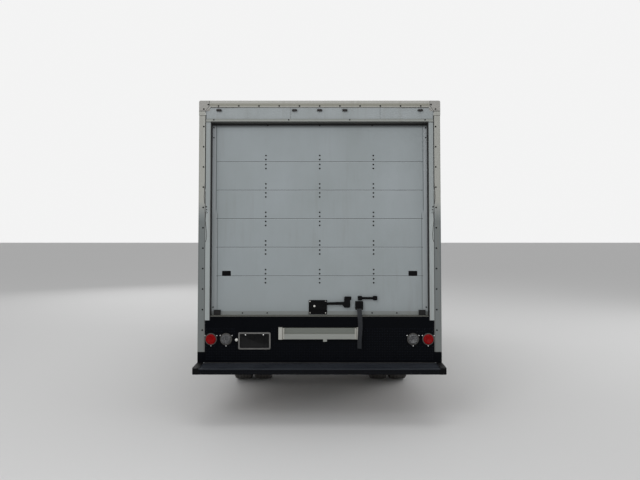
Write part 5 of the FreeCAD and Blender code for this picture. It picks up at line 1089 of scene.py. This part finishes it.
# Latch: bolts on the lock plate and the strap anchor, the lever's pivot and the lock's barrel

latchSpec = {
    "plateX": (-0.0975, 0.0605), "plateZ": (floorTop + 0.02, floorTop + 0.135),
    "anchor": ((0.372, 0.066), (0.426, 0.066), (0.372, 0.125), (0.426, 0.125)),
    "handle": (0.407, 0.56),
    "pivot": (0.0445, doorFace - 0.0463, floorTop + 0.118),
    "barrel": (-0.053, doorFace - 0.0343, floorTop + 0.092),
}


def makeLatchDetails(spec):
    places = [(x, doorFace - 0.0103, z) for x in spec["plateX"] for z in spec["plateZ"]]
    boltRow("lockPlateBolts", places, 0.007, 0.005, "zinc")
    places = [(x, doorFace - 0.0323, floorTop + up) for x, up in spec["anchor"]]
    places += [(x, doorFace - 0.0343, floorTop + 0.17) for x in spec["handle"]]
    boltRow("anchorBolts", places, 0.006, 0.004, "bolt")
    turnedPiece("leverPivot", [(spec["pivot"], rearward)],
                [(0, 0), (0, 0.015), (0.004, 0.015), (0.007, 0.011), (0.007, 0)], 24, "latch", "root")
    turnedPiece("lockBarrel", [(spec["barrel"], rearward)],
                [(0, 0), (0, 0.011), (0.003, 0.01), (0.003, 0.006), (0.0005, 0.005), (0.0005, 0)],
                24, "zinc", "root")


makeLatchDetails(latchSpec)
print("lamps, plate and latch dressed")


# Tyres: ribbed road tread with zigzag grooves, and ringed sidewalls

tyreSpec = {
    "radius": hubHeight, "width": 0.215, "steps": 180, "grooves": (-0.058, -0.02, 0.02, 0.058),
    "grooveWidth": 0.008, "grooveDepth": 0.011, "groovePad": 0.0008, "crownDrop": 0.0045, "crownHalf": 0.075,
    "zigzag": 0.0035, "turns": 45,
    # the shoulder's outer corner is notched once in each turn of the zigzag
    "notchShare": 0.25, "notchWidth": 0.021, "notchFrom": 0.36, "notchDepth": 0.0035,
}


def tyreProfile(spec):
    # (x, radius, swing): swing is how far the point follows the zigzag
    half, outer = spec["width"] / 2, spec["radius"]
    bead = [(-0.081, 0.2055), (-0.0813, 0.222), (-0.092, 0.233), (-0.1, 0.248), (-0.1035, 0.25),
            (-0.1045, 0.256)]
    wall = [(0.0015, 0.28), (0, 0.3), (0, 0.31), (-0.0012, 0.312), (-0.0012, 0.318), (0.0005, 0.32),
            (0.003, 0.34), (0.006, 0.352), (0.0075, 0.362), (0.012, 0.372), (0.02, outer - 0.0065)]
    flank = [(x, r, 0) for x, r in bead] + [(-half + x, r, 0) for x, r in wall]
    crown = []
    pad, w = spec["groovePad"], spec["grooveWidth"] / 2
    for x in spec["grooves"]:
        top = outer - spec["crownDrop"] * (abs(x) / spec["crownHalf"]) ** 2
        floor = top - spec["grooveDepth"]
        crown += [(x - w - pad, top, 1), (x - w, top - 0.001, 1), (x - w * 0.7, floor, 1),
                  (x + w * 0.7, floor, 1), (x + w, top - 0.001, 1), (x + w + pad, top, 1)]
    return flank + crown + [(-x, r, s) for x, r, s in reversed(flank)]


def makeTyre(bm, centre, spec):
    profile = tyreProfile(spec)
    shoulder = spec["width"] / 2 - spec["notchWidth"]
    rings = []
    for i, angle in enumerate(turned(spec["steps"])):
        phase = (i * spec["turns"] / spec["steps"]) % 1.0
        swing = (abs(phase - 0.5) * 4 - 1) * spec["zigzag"]
        ring = []
        for x, radius, follows in profile:
            if phase < spec["notchShare"] and abs(x) > shoulder and radius > spec["notchFrom"]:
                radius -= spec["notchDepth"]
            ring.append(bm.verts.new((centre[0] + x + swing * follows, centre[1] + radius * math.sin(angle),
                                      centre[2] + radius * math.cos(angle))))
        rings.append(ring)
    skin(bm, rings, closed=True)


def makeTyres(spec):
    for side, _ in sides:
        for node, body in ((f"tyre_front_{side}", f"wheel_front_{side}"),
                           (f"tyres_rear_{side}", f"wheels_rear_{side}")):
            least, most = low(node), high(node)
            middle = (least + most) / 2
            apart = (most.x - least.x - spec["width"]) / 2      # of twin tyres from their middle
            bm = bmesh.new()
            for shift in ((0.0,) if apart < 0.01 else (-apart, apart)):
                makeTyre(bm, (middle.x + shift, middle.y, middle.z), spec)
            piece = addPiece(node.replace("_", "") + "Tread", bm, "tyre", body, flatAngle=28)
            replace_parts(piece, node)


makeTyres(tyreSpec)


# Wheel nuts

wheelSpec = {
    "count": 6, "circle": 0.111, "nut": 0.0185, "nutLength": 0.02, "washer": 0.023,
    "frontTrack": 0.832, "frontPlane": 0.092, "rearTrack": 0.825, "rearPlane": 0.009,
}


def makeWheelNuts(spec):
    nut, long, washer = spec["nut"], spec["nutLength"], spec["washer"]
    profile = [(-0.004, washer), (0.004, washer), (0.0045, nut), (long, nut), (long + 0.002, nut * 0.7)]
    for side, sign in sides:
        for node, plane in ((f"wheel_front_{side}", spec["frontTrack"] + spec["frontPlane"]),
                            (f"wheels_rear_{side}", spec["rearTrack"] + spec["rearPlane"])):
            middle = (low(node) + high(node)) / 2
            spots = [((sign * (plane + 0.0005), middle.y + spec["circle"] * math.sin(a),
                       hubHeight + spec["circle"] * math.cos(a)), (sign, 0, 0)) for a in turned(spec["count"])]
            turnedPiece(node.replace("_", "") + "Nuts", spots, profile, 6, "zinc", node)


makeWheelNuts(wheelSpec)
print("tyres and wheels dressed")


# Cargo body: panel seams with rivets, and side markers

boxSpec = {
    "panels": 4, "rivetStep": 0.1, "railStep": 0.12, "seamHalf": 0.022, "seamProud": 0.0015, "rivet": 0.005,
    "seamFoot": 1.051, "seamHeadDrop": 0.15, "railLow": 0.965, "railHighDrop": 0.115,
    "wallInset": 0.004, "markerHeight": 0.945,
}


def makeBoxPanels(spec):
    wallX = bodyHalf - spec["wallInset"]
    start, end = rearFace + 0.09, bodyFront - 0.11
    foot, head = spec["seamFoot"], bodyTop - spec["seamHeadDrop"]
    bm = bmesh.new()
    rivets = []
    for _, sign in sides:
        for i in range(1, spec["panels"]):
            y = start + (end - start) * i / spec["panels"]
            x0, x1 = sorted((sign * wallX, sign * (wallX + spec["seamProud"])))
            roundedBlock(bm, (x0, y - spec["seamHalf"], foot), (x1, y + spec["seamHalf"], head), 0.0005)
            z = foot + 0.03
            while z < head - 0.02:
                rivets += [((sign * (wallX + spec["seamProud"]), y + dy, z), (sign, 0, 0))
                           for dy in (-0.012, 0.012)]
                z += spec["rivetStep"]
        y = start + 0.05
        while y < end:
            rivets += [((sign * bodyHalf, y, z), (sign, 0, 0))
                       for z in (spec["railLow"], bodyTop - spec["railHighDrop"])]
            y += spec["railStep"]
    addPiece("wallSeams", bm, "box", "root")
    r = spec["rivet"]
    turnedPiece("wallRivets", rivets, [(-0.0005, r), (0.0012, r * 0.8), (0.0022, r * 0.35), (0.0024, 0)], 8,
                "box", "root")
    profile = [(-0.001, 0.0), (-0.001, 0.026), (0.006, 0.026), (0.012, 0.019), (0.0145, 0.009), (0.015, 0)]
    for name, y, look in (("sideMarkersRear", rearFace + 0.14, "lensRed"),
                          ("sideMarkersFront", bodyFront - 0.2, "lensAmber")):
        spots = [((sign * bodyHalf, y, spec["markerHeight"]), (sign, 0, 0)) for _, sign in sides]
        turnedPiece(name, spots, profile, 24, look, "root")


makeBoxPanels(boxSpec)
print("cargo body dressed")


# Cab: window seals, wipers, headlamps, indicators and mirror faces

cabSpec = {
    "screen": ((-0.902, 1.33, 0.09), (0.902, 1.33, 0.09), (0.85, 2.08, 0.09), (-0.85, 2.08, 0.09)),
    "backWindow": ((-0.56, 1.46, 0.07), (0.56, 1.46, 0.07), (0.56, 1.99, 0.07), (-0.56, 1.99, 0.07)),
    "doorFront": cabFront - 0.17, "doorBack": cabBack + 0.455,
    "doorSill": 1.34, "doorHead": 2.023,
    "sealStep": 0.06,
}


def sealAround(name, corners, cast, radius, body, spacing):
    # a rubber bead on the surface that cast finds, along a rounded outline
    line = roundedPath(corners)
    points, lifts = [], []
    for here, there in zip(line, line[1:] + line[:1]):
        count = max(1, round((there - here).length / spacing))
        for k in range(count):
            place, normal = cast(here.lerp(there, k / count))
            if place is not None:
                points.append(place)
                lifts.append(tuple(normal))
    bm = bmesh.new()
    sweep(bm, points, oval(radius, 8, 0.55), closed=True, upward=lifts)
    addPiece(name, bm, "seal", body)


def growCorners(corners, grow):
    middle = sum((Vector(c[:2]) for c in corners), Vector((0, 0))) / len(corners)
    return [(u + math.copysign(grow, u - middle.x), v + math.copysign(grow, v - middle.y), radius + grow)
            for u, v, radius in corners]


def fromAhead(node, x, z):
    return surfaceAt(node, (x, cabFront + 1.0, z), rearward)


def makeWindowSeals(spec):
    def fromFront(spot):
        return fromAhead("cab_shell", spot.x, spot.y)

    def fromBack(spot):
        return surfaceAt("cab_shell", (spot.x, bodyFront + 0.05, spot.y), (0, 1, 0))

    step = spec["sealStep"]
    sealAround("screenSeal", growCorners(spec["screen"], 0.012), fromFront, 0.014, "cab", step)
    sealAround("backWindowSeal", growCorners(spec["backWindow"], 0.01), fromBack, 0.011, "cab", step)
    front, back, sill, head = (spec[key] for key in ("doorFront", "doorBack", "doorSill", "doorHead"))
    window = [(front - 0.092, sill, 0.04), (front - 0.23, head, 0.06), (back + 0.066, head, 0.06),
              (back + 0.066, sill, 0.06)]
    for side, sign in sides:
        def fromSide(spot, sign=sign, side=side):
            return surfaceAt(f"cab_door_{side}", (sign * 2.0, spot.x, spot.y), (-sign, 0, 0))

        sealAround(f"doorSeal{side.title()}", growCorners(window, 0.011), fromSide, 0.01, f"door_{side}", step)


makeWindowSeals(cabSpec)


wiperSpec = {"pivots": ((-0.62, 1.31), (0.1, 1.31)), "arm": 0.5, "blade": 0.52, "bladeBehind": 0.72, "lean": 68}


def onScreen(spot, off):
    place, normal = fromAhead("cab_glass", *spot)
    if place is None:
        place, normal = fromAhead("cab_shell", *spot)
    return place + normal * off


def makeWipers(spec):
    lean = math.radians(spec["lean"])
    for i, (x, z) in enumerate(spec["pivots"]):
        bm = bmesh.new()
        base, normal = fromAhead("cab_shell", x, z - 0.015)
        lathe(bm, base, normal, [(-0.002, 0.0), (-0.002, 0.022), (0.012, 0.022), (0.026, 0.016),
                                 (0.03, 0.0)], 20)
        pivot = Vector((x, z))
        tip = Vector((x + spec["arm"] * math.sin(lean), z + spec["arm"] * math.cos(lean)))
        direction = (tip - pivot).normalized()
        arm = [base + normal * 0.026]
        arm += [onScreen(pivot.lerp(tip, k / 8), 0.03 - 0.008 * k / 8) for k in range(1, 9)]
        sweep(bm, arm, oval(0.005, 8, 0.6))
        blade = [onScreen(tip + direction * spec["blade"] * (k / 12 - spec["bladeBehind"]), 0.009)
                 for k in range(13)]
        sweep(bm, blade, [(-0.003, -0.007), (0.003, -0.007), (0.005, 0.004), (0.002, 0.011), (-0.002, 0.011),
                          (-0.005, 0.004)])
        addPiece(f"wiper{i + 1}", bm, "plastic", "cab")


makeWipers(wiperSpec)


headlampSpec = {"centres": (0.745, 0.875), "height": 0.885, "radius": 0.062, "sunk": 0.012, "turnedAhead": 1.2,
                "indicator": (cabFront - 0.135, 1.1)}


def makeHeadlamps(spec):
    r = spec["radius"]
    spots = []
    for _, sign in sides:
        for x in spec["centres"]:
            place, normal = fromAhead("headlamps", sign * x, spec["height"])
            axis = (normal + Vector((0, spec["turnedAhead"], 0))).normalized()
            spots.append((place - axis * spec["sunk"], axis))
    turnedPiece("headlampBowls", spots, [(0.0, r * 1.08), (0.02, r * 1.08), (0.023, r * 1.03), (0.021, r),
                                         (0.012, r * 0.96), (0.004, r * 0.6), (0.002, 0.0)],
                36, "lampBezel", "cab")
    turnedPiece("headlampLenses", spots, [(0.02, r * 0.985), (0.027, r * 0.8), (0.031, r * 0.5),
                                          (0.033, r * 0.2), (0.0335, 0.0)], 36, "headGlass", "cab")
    spots = [surfaceAt("cab_shell", (sign * 2.0, *spec["indicator"]), (-sign, 0, 0)) for _, sign in sides]
    profile = [(-0.002, 0.0), (-0.002, 0.03), (0.008, 0.03), (0.015, 0.02), (0.018, 0)]
    turnedPiece("sideIndicators", spots, profile, 24, "lensAmber", "cab")


makeHeadlamps(headlampSpec)


mirrorSpec = {
    "fromOuter": (0.195, 0.02), "heights": (1.43, 1.8), "corner": 0.02,
    "steps": ((0.0, 0.0), (0.0, 0.001), (0.003, 0.0015)),      # (inset, rise)
}


def makeMirrorFaces(spec):
    for side, sign in sides:
        case = f"mirror_{side}"
        outer = high(case).x if sign > 0 else -low(case).x

        def onCase(u, v, rise, case=case, sign=sign):
            hit, _ = surfaceAt(case, (sign * u, 0.0, v), (0, 1, 0))
            return (sign * u, hit.y - rise, v)

        (x0, x1), (z0, z1) = (outer - reach for reach in spec["fromOuter"]), spec["heights"]
        bm = bmesh.new()
        roundedRings(bm, ((x0 + x1) / 2, (z0 + z1) / 2), ((x1 - x0) / 2, (z1 - z0) / 2), spec["corner"],
                     spec["steps"], onCase)
        addPiece(f"mirrorFace{side.title()}", bm, "mirrorFace", f"door_{side}")


makeMirrorFaces(mirrorSpec)
print("cab outside dressed")


# Seats: crowned cushions with sewn channels on a plain base

seatSpec = {
    "deck": 1.13, "front": 2.805,
    "seats": (("driver", -0.47, 0.5, 1), ("passenger", 0.33, 0.88, 2)),      # middle, width and head rests
    "channels": 5, "crown": 0.022, "channelDepth": 0.006, "channelWidth": 0.07,
    "cushionTilt": (0, 1, 0.035), "backTilt": (0, -0.17, 1),
}


def cushion(bm, origin, along, up, size, crown, channels, depth, channelWidth, steps=(28, 28)):
    # a puffed slab across the cab: size is (width, length, thickness), with channels sewn along its length
    wide, tall, thick = size
    columns, rows = steps
    for face in (1, -1):
        grid = []
        for j in range(rows + 1):
            line = []
            for i in range(columns + 1):
                u, v = 2 * i / columns - 1, 2 * j / rows - 1
                fall = (1 - abs(u) ** 5) ** 0.42 * (1 - abs(v) ** 5) ** 0.42
                pull = 1 - 0.02 * (1 - fall)
                rise = (thick / 2 + (crown if face > 0 else 0) * (1 - u * u) * (1 - v * v)) * fall
                if face > 0 and channels:
                    seam = abs(((u + 1) / 2 * channels + 0.5) % 1.0 - 0.5)
                    rise -= depth * math.exp(-(seam / channelWidth) ** 2) * fall
                aside = Vector((u * wide / 2 * pull, 0, 0))
                line.append(bm.verts.new(origin + aside + along * (v * tall / 2 * pull) + up * (face * rise)))
            grid.append(line)
        for j in range(rows):
            for i in range(columns):
                bm.faces.new([grid[j][i], grid[j][i + 1], grid[j + 1][i + 1], grid[j + 1][i]][::face])
    bmesh.ops.remove_doubles(bm, verts=bm.verts, dist=0.0004)


def makeSeats(spec):
    deck, back = spec["deck"], spec["front"] - 0.76
    tilt, rise = Vector(spec["cushionTilt"]).normalized(), Vector(spec["backTilt"]).normalized()
    aside = Vector((1, 0, 0))
    upFromTilt, upFromRise = aside.cross(tilt), rise.cross(aside)

    def padded(name, place, along, up, size, fill, crown, channels, depth, steps=(28, 28)):
        bm = bmesh.new()
        cushion(bm, Vector(place), along, up, size, crown, channels, depth, spec["channelWidth"], steps)
        piece = addPiece(name, bm, "seatCloth", "cab", flatAngle=70)
        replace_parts(piece, "seats")

    for label, centre, width, heads in spec["seats"]:
        sewn = (spec["crown"], spec["channels"] * heads, spec["channelDepth"])
        padded(label + "SeatCushion", (centre, back + 0.25, deck + 0.148), tilt, upFromTilt,
               (width, 0.5, 0.105), 0.75, *sewn)
        padded(label + "SeatBack", (centre, back - 0.002, deck + 0.44), rise, upFromRise,
               (width, 0.56, 0.1), 0.75, *sewn)
        restX = [centre] if heads == 1 else [centre + (k - 0.5) * width / 2 for k in range(heads)]
        for k, x in enumerate(restX):
            padded(f"{label}HeadRest{k + 1}", (x, back - 0.072, deck + 0.83), rise, upFromRise,
                   (0.25, 0.14, 0.08), 0.8, 0.008, 0, 0.0, steps=(16, 12))
        bm = bmesh.new()
        roundedBlock(bm, (centre - width / 2 + 0.05, back + 0.06, deck + 0.001),
                     (centre + width / 2 - 0.05, back + 0.47, deck + 0.09), 0.012, 3)
        for x in restX:
            for dx in (-0.05, 0.05):
                lathe(bm, (x + dx, back - 0.062, deck + 0.7), (0, -0.08, 1), [(0, 0.006), (0.09, 0.006)], 10)
        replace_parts(addPiece(label + "SeatBase", bm, "plastic", "cab"), "seats")


makeSeats(seatSpec)


# Dashboard: dials, vents, radio and glove box

dashSpec = {
    "dials": (-0.57, -0.37), "dialHeight": 1.265,
    "vents": (-0.8, -0.12, 0.12, 0.8), "ventHeight": 1.2, "slats": 5,
    "panels": ((-0.09, 0.09, 1.105, 1.155), (0.25, 0.68, 1.1, 1.2)),
}


def makeDashDetails(spec):
    def face(x, z):
        return surfaceAt("dashboard", (x, 2.6, z), (0, 1, 0))

    bm = bmesh.new()
    for x in spec["vents"]:
        middle = face(x, spec["ventHeight"])[0].z
        for k in range(spec["slats"]):
            z = middle - 0.03 + 0.015 * k
            y = face(x, z)[0].y
            roundedBlock(bm, (x - 0.06, y - 0.008, z - 0.003), (x + 0.06, y + 0.004, z + 0.003), 0.0015)
    for x0, x1, z0, z1 in spec["panels"]:
        y = face((x0 + x1) / 2, (z0 + z1) / 2)[0].y
        roundedBlock(bm, (x0, y - 0.01, z0), (x1, y + 0.02, z1), 0.006, 2)
    addPiece("dashVents", bm, "plastic", "cab")
    turnedPiece("dashDials", [face(x, spec["dialHeight"]) for x in spec["dials"]],
                [(-0.002, 0.055), (0.006, 0.055), (0.006, 0.048), (0.002, 0.046), (0.002, 0)],
                32, "lampBezel", "cab")


makeDashDetails(dashSpec)
print("cab inside dressed")


# Studio

studioSpec = {
    "floor": (0.62, 0.62, 0.62), "floorHalf": 60.0, "background": (0.9, 0.9, 0.9), "world": 0.55,
    "lights": (
        # name, place, aim, size, power
        ("softTop", (0, -1.0, 9.0), (0, 0, 0), 9.0, 230.0),
        ("softBack", (-4.0, -10.5, 6.0), (0, -2.5, 1.6), 5.0, 200.0),
        ("softRear", (1.5, -13.0, 2.6), (0, -3.0, 1.7), 6.0, 185.0),
        ("softRight", (9.0, 2.0, 5.0), (0, 0, 1.4), 6.0, 150.0),
        ("softFront", (-5.0, 10.0, 5.5), (0, 2.0, 1.4), 6.0, 165.0),
    ),
}


def makeFloor(spec):
    material, tree, shader = newMaterial("studioFloor")
    feed(tree, shader, {"Base Color": (*spec["floor"], 1.0), "Roughness": 0.85})
    bm = bmesh.new()
    bmesh.ops.create_grid(bm, x_segments=1, y_segments=1, size=spec["floorHalf"])
    mesh = bpy.data.meshes.new("studioFloor")
    bm.to_mesh(mesh)
    bm.free()
    mesh.materials.append(material)
    floor = bpy.data.objects.new("studioFloor", mesh)
    scene.collection.objects.link(floor)


def makeWorld(spec):
    # a plain level on the object, and the pale background for what the camera, metal and glass see
    world = bpy.data.worlds.new("studioWorld")
    world.use_nodes = True
    tree = world.node_tree
    path = put(tree, "LightPath").outputs
    seen = calc(tree, "MAXIMUM", path["Is Camera Ray"], path["Is Transmission Ray"])
    seen = calc(tree, "MAXIMUM", seen, path["Is Glossy Ray"])
    tone = blended(tree, seen, (spec["world"],) * 3, spec["background"])
    feed(tree, tree.nodes["Background"].inputs, {"Color": tone, "Strength": 1.0})
    scene.world = world


def makeLights(spec):
    for name, place, target, size, power in spec["lights"]:
        data = bpy.data.lights.new(name, "AREA")
        data.shape = "DISK"
        data.size = size
        data.energy = power
        lamp = bpy.data.objects.new(name, data)
        lamp.location = place
        lamp.rotation_euler = (Vector(target) - Vector(place)).to_track_quat("-Z", "Y").to_euler()
        scene.collection.objects.link(lamp)


makeFloor(studioSpec)
makeWorld(studioSpec)
makeLights(studioSpec)
scene.view_settings.view_transform = "Standard"
print("studio ready")
